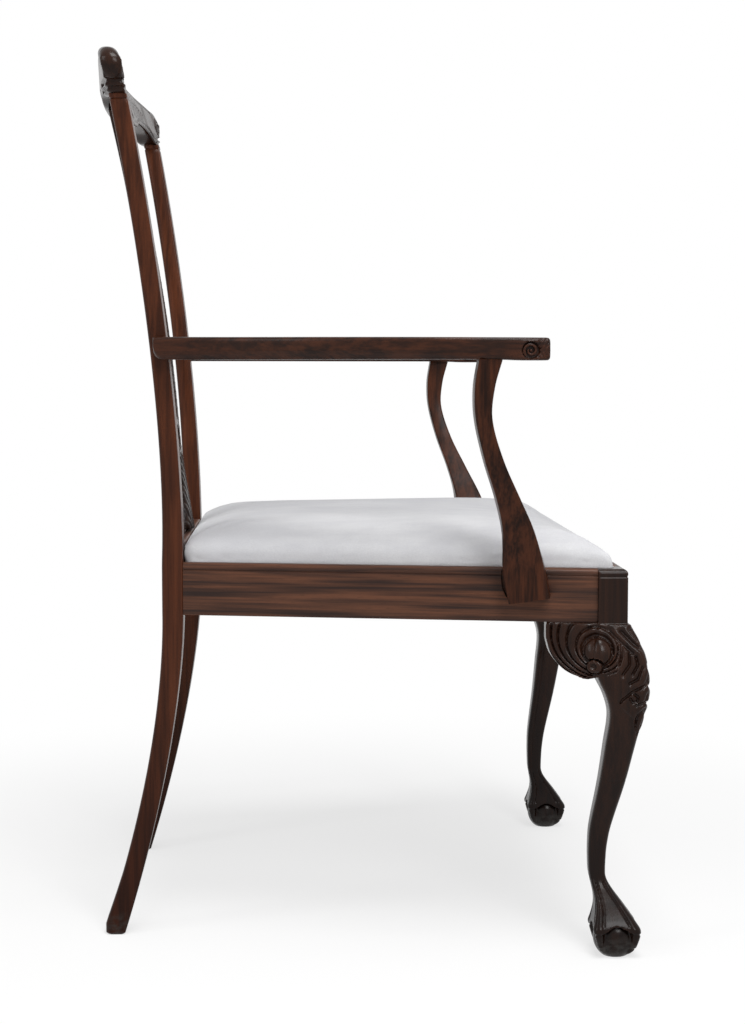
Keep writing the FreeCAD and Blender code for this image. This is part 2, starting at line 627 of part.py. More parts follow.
def bracket_shape():
    """A knee bracket that runs along +X from the leg, with its outer side towards -Y."""
    length, drop = size("bracket_length"), size("bracket_drop")
    back, swell = size("bracket_thick"), size("bracket_swell")
    inset = 4.0
    under = smooth([Vector(length, 0, -0.2 * drop), Vector(0.93 * length, 0, -0.55 * drop),
                    Vector(0.72 * length, 0, -0.82 * drop), Vector(0.38 * length, 0, -0.95 * drop),
                    Vector(0, 0, -drop), Vector(-inset, 0, -1.02 * drop)])
    profile = Part.Wire([
        Part.LineSegment(Vector(-inset, 0, 0), Vector(length, 0, 0)).toShape(),
        Part.LineSegment(Vector(length, 0, 0), Vector(length, 0, -0.2 * drop)).toShape(),
        under.toShape(),
        Part.LineSegment(Vector(-inset, 0, -1.02 * drop), Vector(-inset, 0, 0)).toShape()])
    side = Part.Face(profile).extrude(Vector(0, 2 * (back + swell), 0))
    side.translate(Vector(0, -2 * swell, 0))
    low = -1.1 * drop
    face = smooth([Vector(-inset, -0.95 * swell, low), Vector(0, -swell, low),
                   Vector(0.5 * length, -0.55 * swell, low), Vector(length, 0, low)])
    outline = Part.Wire([
        face.toShape(),
        Part.LineSegment(Vector(length, 0, low), Vector(length, back, low)).toShape(),
        Part.LineSegment(Vector(length, back, low), Vector(-inset, back, low)).toShape(),
        Part.LineSegment(Vector(-inset, back, low), Vector(-inset, -0.95 * swell, low)).toShape()])
    return side.common(Part.Face(outline).extrude(Vector(0, 0, 1.2 * drop)))


def placed(shape, place, angle, flip):
    """Turn a shape about Z, optionally mirrored front to rear first, and put it at a place."""
    copy = shape.mirror(Vector(0, 0, 0), Vector(0, 1, 0)) if flip else shape.copy()
    copy.rotate(Vector(0, 0, 0), Vector(0, 0, 1), angle)
    copy.translate(place)
    return copy


bracket = bracket_shape()
corner_x = size("front_width") / 2
side_place = Vector(number(side_x(BLOCK_Y)), number(BLOCK_Y), number(RAIL_BOTTOM))
front_place = Vector(number(BLOCK_X), number(FRONT_Y), number(RAIL_BOTTOM))
side_bracket_form = form("side_bracket_form", placed(bracket, side_place, 90 + math.degrees(support_turn), False))
front_bracket_form = form("front_bracket_form", placed(bracket, front_place, 180, True))
side_bracket = cut("left_side_knee_bracket", side_bracket_form, [leg_form])
front_bracket = cut("left_front_knee_bracket", front_bracket_form, [leg_form, side_bracket_form])


# Crest rail: sawn to its front outline and to a bow in plan, leaning with the posts.

def crest_outline():
    """Closed front outline of the crest rail."""
    base = size("post_top")
    rise, ear = size("crest_rise"), size("ear_rise")
    seat_out = crest_outer + 3.0
    seat_in = crest_outer - crest_width - 3.0
    tip = crest_outer + size("ear_reach")
    top = [(0.0, rise), (0.22, 0.985 * rise), (0.5, 0.95 * rise), (0.74, 0.91 * rise), (0.88, 1.02 * ear)]
    right_top = [Vector(tip * x, 0, base + z) for x, z in top]
    right_top.append(Vector(crest_outer + 8.0, 0, base + ear))
    left_top = [Vector(-p.x, 0, p.z) for p in reversed(right_top[1:])]
    ridge = smooth(left_top + right_top)
    ear_points = [right_top[-1], Vector(tip - 2.0, 0, base + 0.8 * ear), Vector(tip - 1.0, 0, base + 0.45 * ear),
                  Vector(crest_outer + 10.0, 0, base + 0.12 * ear), Vector(seat_out, 0, base)]
    arch = [Vector(seat_in, 0, base), Vector(seat_in - 30.0, 0, base + 11.0),
            Vector(0.45 * tip, 0, base + 14.0), Vector(0.3 * tip, 0, base + 6.0)]

    def flip(points):
        return [Vector(-p.x, 0, p.z) for p in reversed(points)]

    straight = ((Vector(seat_out, 0, base), Vector(seat_in, 0, base)),
                (arch[-1], Vector(-arch[-1].x, 0, arch[-1].z)),
                (Vector(-seat_in, 0, base), Vector(-seat_out, 0, base)))
    lines = [Part.LineSegment(a, b).toShape() for a, b in straight]
    return Part.Wire([ridge.toShape(), smooth(ear_points).toShape(), lines[0], smooth(arch).toShape(), lines[1],
                      smooth(flip(arch)).toShape(), lines[2], smooth(flip(ear_points)).toShape()])


def crest_lean():
    return size("crest_lean") / size("crest_rise")


def crest_shape():
    front = Part.Face(crest_outline()).extrude(Vector(0, 400, 0))
    low = size("post_top") - 12.0
    middle = crest_front + crest_depth / 2 - 12.0 * crest_lean()
    half = size("crest_thick") / 2
    reach = 1.2 * crest_outer

    def bowed(offset, extra=None):
        rows = [mix(-reach, reach, i / 24) for i in range(25)] if extra else [mix(-reach, reach, i / 8) for i in range(9)]
        return smooth([Vector(x, middle + offset + size("crest_bow") * (1 - (x / crest_outer) ** 2)
                              + (extra(abs(x)) if extra else 0), low) for x in rows])

    def between(fore, aft, lean):
        ends = [Part.LineSegment(fore.EndPoint, aft.EndPoint), Part.LineSegment(aft.StartPoint, fore.StartPoint)]
        plan = Part.Wire([fore.toShape(), ends[0].toShape(), aft.toShape(), ends[1].toShape()])
        height = size("crest_rise") + 40.0
        return Part.Face(plan).extrude(Vector(0, height * lean, height))

    board = front.common(between(bowed(-half), bowed(half), crest_lean()))
    # The back is planed thinner towards the top, except behind the ears.
    start = 12.0
    planed = (size("crest_thick") - size("crest_edge")) / (size("crest_rise") - start)
    lift = (start + 12.0) * planed

    def ears(x):
        share = max(0.0, min(1.0, (x - 0.84 * crest_outer) / (0.1 * crest_outer)))
        return 14.0 * share * share * (3 - 2 * share)

    return board.common(between(bowed(-4 * half), bowed(half + lift, ears), crest_lean() - planed))


# Splat: interlaced straps sawn out of a board that is curved to follow the bowed back.

def splat_middle(z):
    """Middle of the splat's thickness at a height."""
    share = (z - size("rail_top")) / (size("post_top") - size("rail_top"))
    share = max(0.0, share)
    line = number(POST_Y) + size("post_depth") / 2 + (size("back_rake") - 2.0) * share ** 1.75
    return line + size("crest_bow") * share ** 0.75


SPLAT_LOW = number(SHOE_TOP)
SPLAT_HIGH = size("post_top") + 6.0


def splat_board(thick, low, high):
    """The curved board, from below the shoe's top up into the crest rail."""
    rows = [mix(low, high, i / 9) for i in range(10)]
    fore = smooth([Vector(-150, splat_middle(z) - thick / 2, z) for z in rows])
    aft = smooth([Vector(-150, splat_middle(z) + thick / 2, z) for z in rows])
    ends = [Part.LineSegment(fore.EndPoint, aft.EndPoint), Part.LineSegment(aft.StartPoint, fore.StartPoint)]
    side = Part.Wire([fore.toShape(), ends[0].toShape(), aft.toShape(), ends[1].toShape()])
    return Part.Face(side).extrude(Vector(300, 0, 0))


# Middle lines of the straps on the right half, as (share of the splat's height, distance from the middle).
OUTER_STRAP = ((-0.02, 43), (0.1, 33), (0.22, 36), (0.38, 62), (0.53, 80), (0.68, 74),
               (0.82, 62), (0.92, 72), (1.02, 90))
INNER_STRAP = ((-0.02, 15), (0.1, 11), (0.2, 20), (0.29, 40), (0.37, 49), (0.46, 40), (0.55, 16), (0.615, 0),
               (0.68, -16), (0.76, -40), (0.83, -51), (0.92, -40), (1.02, -28))
ARCH_STRAP = ((0.83, 46), (0.9, 30), (0.96, 12), (1.02, 4))
RINGS = ((0.615, 1.0), (0.23, 0.72))


def strap(rows, width, side):
    """Front outline of one strap, pushed back through the board."""
    height = SPLAT_HIGH - SPLAT_LOW
    line = smooth([Vector(side * x, 0, SPLAT_LOW + share * height) for share, x in rows])
    first, last = line.FirstParameter, line.LastParameter
    steps = 2 * len(rows)
    near = []
    far = []
    for i in range(steps + 1):
        t = mix(first, last, i / steps)
        along = Vector(*line.tangent(t)[0])
        square = Vector(along.z, 0, -along.x) * (width / 2)
        near.append(line.value(t) - square)
        far.append(line.value(t) + square)
    one, two = smooth(near), smooth(far)
    outline = Part.Wire([one.toShape(), Part.LineSegment(near[-1], far[-1]).toShape(), two.toShape(),
                         Part.LineSegment(far[0], near[0]).toShape()])
    return Part.Face(outline).extrude(Vector(0, 400, 0))


def splat_shape():
    wide, fine = size("strap_width"), size("inner_strap_width")
    straps = []
    for side in (-1, 1):
        straps += [strap(OUTER_STRAP, wide, side), strap(INNER_STRAP, fine, side), strap(ARCH_STRAP, fine, side)]
    rings = []
    for share, scale in RINGS:
        middle = Vector(0, 0, mix(SPLAT_LOW, SPLAT_HIGH, share))
        radius = size("splat_ring") * scale
        disc = Part.makeCylinder(radius + 0.8 * fine, 400, middle, Vector(0, 1, 0))
        rings.append(disc.cut(Part.makeCylinder(radius, 400, middle, Vector(0, 1, 0))))
    plinth = Part.makeBox(102, 400, 32, Vector(-51, 0, SPLAT_LOW))
    face = straps[0].fuse(straps[1:] + rings + [plinth])
    trim = Part.makeBox(400, 400, SPLAT_HIGH - SPLAT_LOW, Vector(-200, 0, SPLAT_LOW))
    return face.common(trim).common(splat_board(size("splat_thick"), SPLAT_LOW, SPLAT_HIGH))


def splat_tenon(half_width, low, high, gap):
    """One of the splat's end tenons, or its mortise."""
    board = splat_board(size("splat_tenon") + 2 * gap, low, high)
    return board.common(Part.makeBox(2 * half_width, 400, high - low, Vector(-half_width, 0, low)))


shoe_depth = 9.0
foot_low = SPLAT_LOW - shoe_depth
head_high = SPLAT_HIGH + 14.0
gap = size("joint_gap")
splat_solid = splat_shape().fuse([splat_tenon(44, foot_low, SPLAT_LOW, 0), splat_tenon(64, SPLAT_HIGH, head_high, 0)])
splat = form("splat", splat_solid.removeSplitter())

crest_form = form("crest_form", crest_shape())
crest_seat = form("splat_head_clearance", Part.makeBox(
    2 * 110, 400, 40, Vector(-110, 0, SPLAT_HIGH - 40)))
crest_pocket = form("splat_head_mortise", splat_tenon(64 + gap, SPLAT_HIGH - 2, head_high + 4 * gap, gap))
left_pocket = form("post_mortise_left", post_tenon(gap))
right_pocket = form("post_mortise_right", post_tenon(gap).mirror(Vector(0, 0, 0), Vector(1, 0, 0)))
crest = cut("crest_rail", crest_form, [crest_seat, crest_pocket, left_pocket, right_pocket])

shoe_x = f"({POST_IN} - Sizes.shoe_gap)"
shoe_blank = plate("splat_shoe_blank", across([
    (shoe_x, f"({POST_Y} + 0.5)"), (shoe_x, f"({POST_Y} + Sizes.post_depth - 1)")]), "Sizes.rail_top", "Sizes.shoe_height")
shoe_pocket = form("splat_foot_mortise", splat_tenon(44 + gap, foot_low - 4 * gap, SPLAT_LOW + 2, gap))
shoe = cut("splat_shoe", shoe_blank, [shoe_pocket])


# Corner blocks, glued into the corners of the seat rails.

front_inner = f"({FRONT_Y} + Sizes.rail_thick)"
block_end = f"({front_inner} + Sizes.block_leg)"
block_start = f"({BLOCK_Y} + 1)"
front_block = plate("left_front_corner_block", [
    (f"({BLOCK_X} - 2)", front_inner), (side_x(block_start, "Sizes.rail_thick"), block_start),
    (side_x(block_end, "Sizes.rail_thick"), block_end), (f"({BLOCK_X} - Sizes.block_leg)", front_inner)],
    BLOCK_BOTTOM, "Sizes.block_height")
block_back = f"({BACK_RAIL_Y} - Sizes.block_leg)"
back_block = plate("left_back_corner_block", [
    (f"({POST_IN} - Sizes.block_leg)", BACK_RAIL_Y), (side_x(block_back, "Sizes.rail_thick"), block_back),
    (side_x(BACK_RAIL_Y, "Sizes.rail_thick"), BACK_RAIL_Y)], BLOCK_BOTTOM, "Sizes.block_height")


# Drop-in seat: half-lapped frame, webbing, hessian, stuffing, cover, bottom cloth and tacks.

inner_inset = f"({FRAME_INSET} + Sizes.frame_width)"
outer_front, outer_back = seat_outline(FRAME_INSET)
inner_front, inner_back = seat_outline(inner_inset)
clip_front = f"({outer_front[1]} + Sizes.frame_clip)"
clip_back = f"({outer_back[1]} - Sizes.frame_clip)"
lip_inset = f"(Sizes.lip_thick + {FRAME_INSET})"
rail_inset = f"(Sizes.lip_thick + {inner_inset})"
front_clip = [(f"({outer_front[0]} - Sizes.frame_clip)", outer_front[1]), (side_x(clip_front, lip_inset), clip_front)]
back_clip = [(side_x(clip_back, lip_inset), clip_back), (f"({outer_back[0]} - Sizes.frame_clip)", outer_back[1])]
front_line, back_line = inner_front[1], inner_back[1]
HALF = "(Sizes.frame_thick / 2)"
MIDDLE = f"({FRAME_BOTTOM} + {HALF})"

seat_front_blank = new_body("seat_front_blank")
prism(seat_front_blank, "seat_front_lap", across(front_clip + [(side_x(front_line, lip_inset), front_line)]),
      FRAME_BOTTOM, HALF)
prism(seat_front_blank, "seat_front_top", across([
    (side_x(outer_front[1], rail_inset), outer_front[1]), (side_x(front_line, rail_inset), front_line)]), MIDDLE, HALF)
seat_back_blank = new_body("seat_back_blank")
prism(seat_back_blank, "seat_back_lap", across([(side_x(back_line, lip_inset), back_line)] + back_clip),
      FRAME_BOTTOM, HALF)
prism(seat_back_blank, "seat_back_top", across([
    (side_x(back_line, rail_inset), back_line), (side_x(outer_back[1], rail_inset), outer_back[1])]), MIDDLE, HALF)
seat_side_blank = new_body("seat_side_blank")
prism(seat_side_blank, "seat_side_bottom", [
    (side_x(front_line, rail_inset), front_line), (side_x(front_line, lip_inset), front_line),
    (side_x(back_line, lip_inset), back_line), (side_x(back_line, rail_inset), back_line)], FRAME_BOTTOM, HALF)
prism(seat_side_blank, "seat_side_top", [(side_x(outer_front[1], rail_inset), outer_front[1])] + front_clip + back_clip
      + [(side_x(outer_back[1], rail_inset), outer_back[1])], MIDDLE, HALF)

web_front = f"({inner_front[1]} - Sizes.web_lap)"
web_back = f"({inner_back[1]} + Sizes.web_lap)"
web_long = []
for i in range(4):
    middle = f"(Sizes.web_width * {1.3 * (i - 1.5)})"
    web_long.append(plate(f"web_long_{i}", rectangle(
        f"({middle} - Sizes.web_width / 2)", f"({middle} + Sizes.web_width / 2)", web_front, web_back),
        FRAME_TOP, "Sizes.web_thick"))
webbing_long = group("seat_webbing_lengthways", web_long)
web_cross = []
web_inset = f"({rail_inset} - Sizes.web_lap)"
for i in range(4):
    middle = f"(({web_front} + {web_back}) / 2 + Sizes.web_width * {1.45 * (i - 1.5)})"
    near, far = f"({middle} - Sizes.web_width / 2)", f"({middle} + Sizes.web_width / 2)"
    web_cross.append(plate(f"web_cross_{i}", across([(side_x(near, web_inset), near), (side_x(far, web_inset), far)]),
                           f"({FRAME_TOP} + Sizes.web_thick)", "Sizes.web_thick"))
webbing_cross = group("seat_webbing_crossways", web_cross)
hessian = plate("seat_hessian", across(seat_outline(f"({FRAME_INSET} + 12)")),
                f"({FRAME_TOP} + 2 * Sizes.web_thick)", "Sizes.hessian_thick")

# The padded form: share of the crown, then the insets at the side, front and back and the corner radius.
CUSHION_ROWS = (
    (0.0, 0.0, 0.0, 0.0, 9.0),
    (0.2, 0.3, 0.6, 0.3, 11.0),
    (0.42, 4.0, 12.0, 4.0, 16.0),
    (0.62, 14.0, 30.0, 12.0, 24.0),
    (0.78, 32.0, 56.0, 27.0, 34.0),
    (0.9, 64.0, 94.0, 54.0, 42.0),
    (0.97, 102.0, 138.0, 92.0, 42.0),
    (1.0, 140.0, 180.0, 130.0, 38.0),
)


def seat_section(z, inset, side, front, back, corner):
    lip = size("lip_thick") + inset
    front_y = number(FRONT_Y) + lip + front
    back_y = number(POST_Y) - inset - back
    front_x = number(side_x(f"({front_y})", f"({lip + side})"))
    back_x = number(side_x(f"({back_y})", f"({lip + side})"))
    corners = [Vector(-front_x, front_y, z), Vector(front_x, front_y, z), Vector(back_x, back_y, z),
               Vector(-back_x, back_y, z)]
    return rounded(corners, [corner] * 4)


def padded(inset, bottom, lower):
    """The padded seat's solid at an inset, from a bottom level up to its lowered crown."""
    top = size("rail_top")
    base = seat_section(bottom, inset, 0, 0, 0, CUSHION_ROWS[0][4])
    skirt = Part.Face(base).extrude(Vector(0, 0, top - bottom))
    dome = loft([seat_section(top + (size("seat_crown") - lower) * row[0], inset, *row[1:]) for row in CUSHION_ROWS])
    return skirt.fuse(dome).removeSplitter()


cover_inset = number(COVER_INSET)
frame_inset = number(FRAME_INSET)
skin = size("cover_thick")
slack = size("cover_slack")
outside = padded(cover_inset, number(SEAT_BOTTOM), 0.0)
inside = padded(cover_inset + skin, number(FRAME_BOTTOM), skin)
opening = seat_section(number(SEAT_BOTTOM) - 1, frame_inset + size("cover_margin"), 0, 0, 0, 9.0)
mouth = Part.Face(opening).extrude(Vector(0, 0, skin + 2))
cover_form = form("seat_cover_form", outside.cut(inside).cut(mouth))
above = Part.makeBox(900, 900, 200, Vector(-450, -450, number(HESSIAN_TOP)))
stuffing = form("seat_stuffing", padded(frame_inset, number(FRAME_BOTTOM), skin + slack).common(above))

cloth_top = SEAT_BOTTOM
cloth_bottom = f"({SEAT_BOTTOM} - Sizes.cloth_thick)"
cloth_inset = f"({FRAME_INSET} + Sizes.cloth_inset)"
cloth_blank = plate("bottom_cloth_blank", across(seat_outline(cloth_inset)), cloth_bottom, "Sizes.cloth_thick")


def tack_places():
    """Tacks along the four edges of the bottom cloth, as pairs of expressions."""
    tack_inset = f"({FRAME_INSET} + Sizes.tack_inset)"
    front, back = seat_outline(tack_inset)
    places = []
    for i in range(5):
        share = (i - 2) / 2.4
        places.append((f"({front[0]} * {share})", front[1]))
        places.append((f"({back[0]} * {share})", back[1]))
    for i in range(5):
        y = f"({front[1]} + ({back[1]} - {front[1]}) * {0.1 + 0.2 * i})"
        x = side_x(y, f"(Sizes.lip_thick + {tack_inset})")
        places += [(x, y), (f"-{x}", y)]
    return places


tacks = []
tack_bores = []
for i, (x, y) in enumerate(tack_places()):
    head = rod(f"tack_head_{i}", "Sizes.tack_head", "1", (x, y, f"({cloth_bottom} - 1)"), Vector(0, 0, 1))
    pin = rod(f"tack_pin_{i}", "0.9", "(Sizes.tack_length + 1)", (x, y, f"({cloth_bottom} - 1)"), Vector(0, 0, 1))
    tacks.append(joined(f"tack_{i}", [head, pin]))
    tack_bores.append(rod(f"tack_bore_{i}", f"(0.9 + {GAP})", f"(Sizes.tack_length + 1 + 2 * {GAP})",
                          (x, y, f"({cloth_bottom} - 1)"), Vector(0, 0, 1)))
seat_tacks = group("seat_tacks", tacks)
bores = group("tack_bores", tack_bores)
seat_front = cut("seat_frame_front", seat_front_blank, [bores])
seat_back = cut("seat_frame_back", seat_back_blank, [bores])
seat_side = cut("left_seat_frame_side", seat_side_blank, [bores])
cover = cut("seat_cover", cover_form, [bores])
cloth = cut("seat_bottom_cloth", cloth_blank, [bores])


# Right-hand pieces.

LEFT_PIECES = (post, side_rail, leg, side_bracket, front_bracket, arm, support, front_block, back_block,
               arm_screw, support_screw_pair, seat_side)
pieces = [crest, splat, shoe, back_rail, front_rail, seat_front, seat_back, webbing_long, webbing_cross, hessian,
          stuffing, cover, cloth, seat_tacks]
for piece in LEFT_PIECES:
    pieces += [piece, mirrored(piece.Label.replace("left_", "right_"), piece)]

doc.recompute()
for item in doc.Objects:
    if "Invalid" in item.State or "Error" in item.State:
        raise RuntimeError(f"{item.Label} did not recompute")
os.makedirs("parts", exist_ok=True)
for piece in pieces:
    shape = piece.Shape
    if shape.isNull() or not shape.isValid() or shape.Volume <= 0:
        raise RuntimeError(f"{piece.Label} has no sound shape")
    shape.exportStep(f"parts/{piece.Label}.step")
    box = shape.BoundBox
    print(f"{piece.Label}: {len(shape.Solids)} solids, {shape.Volume:.0f} mm3, "
          f"x {box.XMin:.1f} {box.XMax:.1f}, y {box.YMin:.1f} {box.YMax:.1f}, z {box.ZMin:.1f} {box.ZMax:.1f}")
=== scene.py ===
"""Carved mahogany armchair with a drop-in velvet seat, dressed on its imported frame."""

import math

import bmesh
import bpy
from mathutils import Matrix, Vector


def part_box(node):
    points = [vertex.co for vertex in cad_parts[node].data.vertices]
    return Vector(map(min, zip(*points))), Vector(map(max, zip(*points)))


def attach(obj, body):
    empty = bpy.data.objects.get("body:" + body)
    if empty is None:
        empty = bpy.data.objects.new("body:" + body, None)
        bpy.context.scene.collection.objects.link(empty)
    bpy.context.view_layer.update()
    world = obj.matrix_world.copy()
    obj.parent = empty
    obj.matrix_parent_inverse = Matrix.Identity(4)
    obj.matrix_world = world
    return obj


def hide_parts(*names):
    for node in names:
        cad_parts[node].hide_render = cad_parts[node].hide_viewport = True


bl_info = {
    "name": "Carved armchair",
    "version": (1, 0, 0),
    "blender": (4, 5, 0),
    "location": "3D View > Sidebar > Armchair",
    "description": "Carved mahogany armchair with a drop-in velvet seat",
    "category": "Object",
}

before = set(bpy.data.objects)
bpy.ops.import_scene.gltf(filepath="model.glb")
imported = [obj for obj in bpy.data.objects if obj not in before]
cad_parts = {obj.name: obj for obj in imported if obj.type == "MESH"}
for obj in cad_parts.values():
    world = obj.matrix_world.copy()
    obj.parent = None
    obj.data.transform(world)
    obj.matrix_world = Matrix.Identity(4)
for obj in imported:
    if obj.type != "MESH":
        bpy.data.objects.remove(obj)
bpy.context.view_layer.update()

# Shapes are worked in millimetres and scaled when a piece is finished.
MM = 0.001
FRAME_BODY = "chair_frame"
SEAT_BODY = "drop_in_seat"

# Places shared with the CAD model: edges of the seat rails, shoulders and front of the back posts, face of the front
# rail, front corners of the seat and the taper of its sides.
RAIL_TOP = 428.0
RAIL_BOTTOM = 369.0
POST_TOP = 941.0
POST_Y = 201.7
FRONT_Y = -285.3
CORNER_X = 300.0
TAPER = 0.1807
# Distance along X for a millimetre square to a side rail.
SLANT = math.sqrt(1 + TAPER ** 2)


# ---------------------------------------------------------------- settings

class ArmchairSizes(bpy.types.PropertyGroup):
    """Sizes of the carving and the upholstery."""
    edge: bpy.props.FloatProperty(
        name="Eased edge", description="Width of the softened edges of the rails",
        default=0.0018, min=0.0, unit="LENGTH")
    leg_grain: bpy.props.FloatProperty(
        name="Leg carving", description="Finest detail of the carved legs",
        default=0.00105, min=0.0006, unit="LENGTH")
    back_grain: bpy.props.FloatProperty(
        name="Back carving", description="Finest detail of the crest rail and the splat",
        default=0.00125, min=0.0006, unit="LENGTH")
    carving: bpy.props.FloatProperty(
        name="Carving depth", description="Share of the full depth of the carved ornament",
        default=1.0, min=0.0, max=2.0, subtype="FACTOR")
    swell: bpy.props.FloatProperty(
        name="Cushion swell", description="Furthest that the stuffing pushes the seat cover out",
        default=0.004, min=0.0, unit="LENGTH")
    tack: bpy.props.FloatProperty(
        name="Tack head", description="Radius of the tacks under the seat",
        default=0.0035, min=0.001, unit="LENGTH")


class ArmchairFinishes(bpy.types.PropertyGroup):
    """Colours of the finishes."""
    mahogany_light: bpy.props.FloatVectorProperty(
        name="Mahogany, light", description="Open grain of the polished mahogany",
        default=(0.088, 0.026, 0.011), size=3, min=0.0, max=1.0, subtype="COLOR")
    mahogany_dark: bpy.props.FloatVectorProperty(
        name="Mahogany, dark", description="Close grain of the polished mahogany",
        default=(0.026, 0.0085, 0.0045), size=3, min=0.0, max=1.0, subtype="COLOR")
    rail_light: bpy.props.FloatVectorProperty(
        name="Seat rail, light", description="Bright streaks of the straight-grained rails",
        default=(0.124, 0.052, 0.030), size=3, min=0.0, max=1.0, subtype="COLOR")
    rail_dark: bpy.props.FloatVectorProperty(
        name="Seat rail, dark", description="Dark streaks of the straight-grained rails",
        default=(0.026, 0.0160, 0.0138), size=3, min=0.0, max=1.0, subtype="COLOR")
    carved_light: bpy.props.FloatVectorProperty(
        name="Carved work, light", description="Open grain of the darker carved pieces",
        default=(0.028, 0.0100, 0.0048), size=3, min=0.0, max=1.0, subtype="COLOR")
    carved_dark: bpy.props.FloatVectorProperty(
        name="Carved work, dark", description="Close grain of the darker carved pieces",
        default=(0.006, 0.0027, 0.0019), size=3, min=0.0, max=1.0, subtype="COLOR")
    # Painted shade with real grime: the colour the recesses darken towards, old waxy grime together with the shade
    # that falls in them.
    wax_and_shade: bpy.props.FloatVectorProperty(
        name="Old wax", description="Dark wax and dirt in the recesses",
        default=(0.008, 0.004, 0.003), size=3, min=0.0, max=1.0, subtype="COLOR")
    scuffs: bpy.props.FloatVectorProperty(
        name="Scuffs", description="Worn, grey wood at the bottom of the feet",
        default=(0.034, 0.031, 0.028), size=3, min=0.0, max=1.0, subtype="COLOR")
    beech: bpy.props.FloatVectorProperty(
        name="Beech", description="Bare wood of the seat frame and the corner blocks",
        default=(0.42, 0.25, 0.12), size=3, min=0.0, max=1.0, subtype="COLOR")
    velvet: bpy.props.FloatVectorProperty(
        name="Velvet", description="Pile of the seat cover",
        default=(0.66, 0.66, 0.675), size=3, min=0.0, max=1.0, subtype="COLOR")


def sizes():
    return bpy.context.scene.armchair_sizes


def colours():
    return bpy.context.scene.armchair_finishes


# ---------------------------------------------------------------- shaping

def mix(a, b, share):
    return a + (b - a) * share


def clamp(value, low=0.0, high=1.0):
    return max(low, min(high, value))


def ease(low, high, value):
    """0 below low, 1 above high, smooth between."""
    share = clamp((value - low) / (high - low))
    return share * share * (3 - 2 * share)


def through(keys, x):
    """Value at x of the smooth line through (x, value) keys, which rise in x."""
    if x <= keys[0][0]:
        return keys[0][1]
    if x >= keys[-1][0]:
        return keys[-1][1]
    i = max(k for k in range(len(keys) - 1) if keys[k][0] <= x)

    def slope(k):
        a, b = keys[max(k - 1, 0)], keys[min(k + 1, len(keys) - 1)]
        return (b[1] - a[1]) / (b[0] - a[0])

    (x0, y0), (x1, y1) = keys[i], keys[i + 1]
    span = x1 - x0
    t = (x - x0) / span
    return ((1 + 2 * t) * (1 - t) ** 2 * y0 + t * (1 - t) ** 2 * span * slope(i)
            + t * t * (3 - 2 * t) * y1 - t * t * (1 - t) * span * slope(i + 1))


def row_at(rows, share):
    """A row of a table of stations at a share, smooth between the stations."""
    return [through([(row[0], row[k]) for row in rows], share) for k in range(1, len(rows[0]))]


def rounded_ring(corners, radii, steps=4):
    """Closed ring through corners, each rounded by its radius."""
    ring = []
    count = len(corners)
    for i, corner in enumerate(corners):
        before = corners[i - 1] - corner
        after = corners[(i + 1) % count] - corner
        reach = min(max(radii[i], 0.2), 0.48 * before.length, 0.48 * after.length)
        start = corner + before.normalized() * reach
        end = corner + after.normalized() * reach
        for k in range(steps + 1):
            t = k / steps
            ring.append(start * (1 - t) ** 2 + corner * (2 * t * (1 - t)) + end * t * t)
    return ring


def skin(bm, rings):
    """Closed skin over rings of equally many points."""
    rows = [[bm.verts.new(point) for point in ring] for ring in rings]
    count = len(rows[0])
    for a, b in zip(rows, rows[1:]):
        for i in range(count):
            j = (i + 1) % count
            bm.faces.new((a[i], a[j], b[j], b[i]))
    bm.faces.new(list(reversed(rows[0])))
    bm.faces.new(rows[-1])


def solid(rings):
    """A mesh of one closed skin, with its faces outwards."""
    bm = bmesh.new()
    skin(bm, rings)
    bmesh.ops.recalc_face_normals(bm, faces=bm.faces)
    return bm


def mesh_from(name, bm):
    """A mesh of bm, which is freed."""
    mesh = bpy.data.meshes.new(name)
    bm.to_mesh(mesh)
    bm.free()
    return mesh


def taken_from(mesh):
    """The shape of a mesh, which is removed."""
    bm = bmesh.new()
    bm.from_mesh(mesh)
    bpy.data.meshes.remove(mesh)
    return bm


def linked(name, data):
    """An object in the scene for a mesh, lamp or camera."""
    item = bpy.data.objects.new(name, data)
    bpy.context.scene.collection.objects.link(item)
    return item


def evaluated_mesh(item):
    """A mesh of an object as its modifiers leave it."""
    return bpy.data.meshes.new_from_object(item.evaluated_get(bpy.context.evaluated_depsgraph_get()))


def to_metres(bm):
    for vertex in bm.verts:
        vertex.co *= MM


def to_millimetres(bm):
    for vertex in bm.verts:
        vertex.co /= MM


def added(bm, other):
    """Put another mesh into bm and free it."""
    mesh = mesh_from("added", other)
    bm.from_mesh(mesh)
    bpy.data.meshes.remove(mesh)
    return bm


def other_side(bm):
    """A copy of bm for the other side of the chair."""
    copy = bm.copy()
    for vertex in copy.verts:
        vertex.co.x = -vertex.co.x
    bmesh.ops.reverse_faces(copy, faces=copy.faces)
    return copy


def evaluated(bm, prepare):
    """bm after the modifiers that prepare adds."""
    mesh = mesh_from("blank", bm)
    blank = linked("blank", mesh)
    prepare(blank)
    done = evaluated_mesh(blank)
    bpy.data.objects.remove(blank)
    bpy.data.meshes.remove(mesh)
    return taken_from(done)


def voxels(blank, size):
    """Rebuild a blank out of voxels of one size."""
    remesh = blank.modifiers.new("Remesh", "REMESH")
    remesh.mode = "VOXEL"
    remesh.voxel_size = size


def carved_block(bm, grain, rounds):
    """The overlapping shapes in bm as one blank, ready to be carved."""
    def prepare(blank):
        voxels(blank, grain / MM)
        soften = blank.modifiers.new("Soften", "SMOOTH")
        soften.factor = 0.5
        soften.iterations = rounds
    return evaluated(bm, prepare)


def carve(bm, depth):
    """Move each point along its normal by depth(point, normal) in millimetres."""
    bm.normal_update()
    share = sizes().carving
    moves = [(vertex, vertex.normal * (share * depth(vertex.co, vertex.normal))) for vertex in bm.verts]
    for vertex, move in moves:
        vertex.co += move
    bm.normal_update()


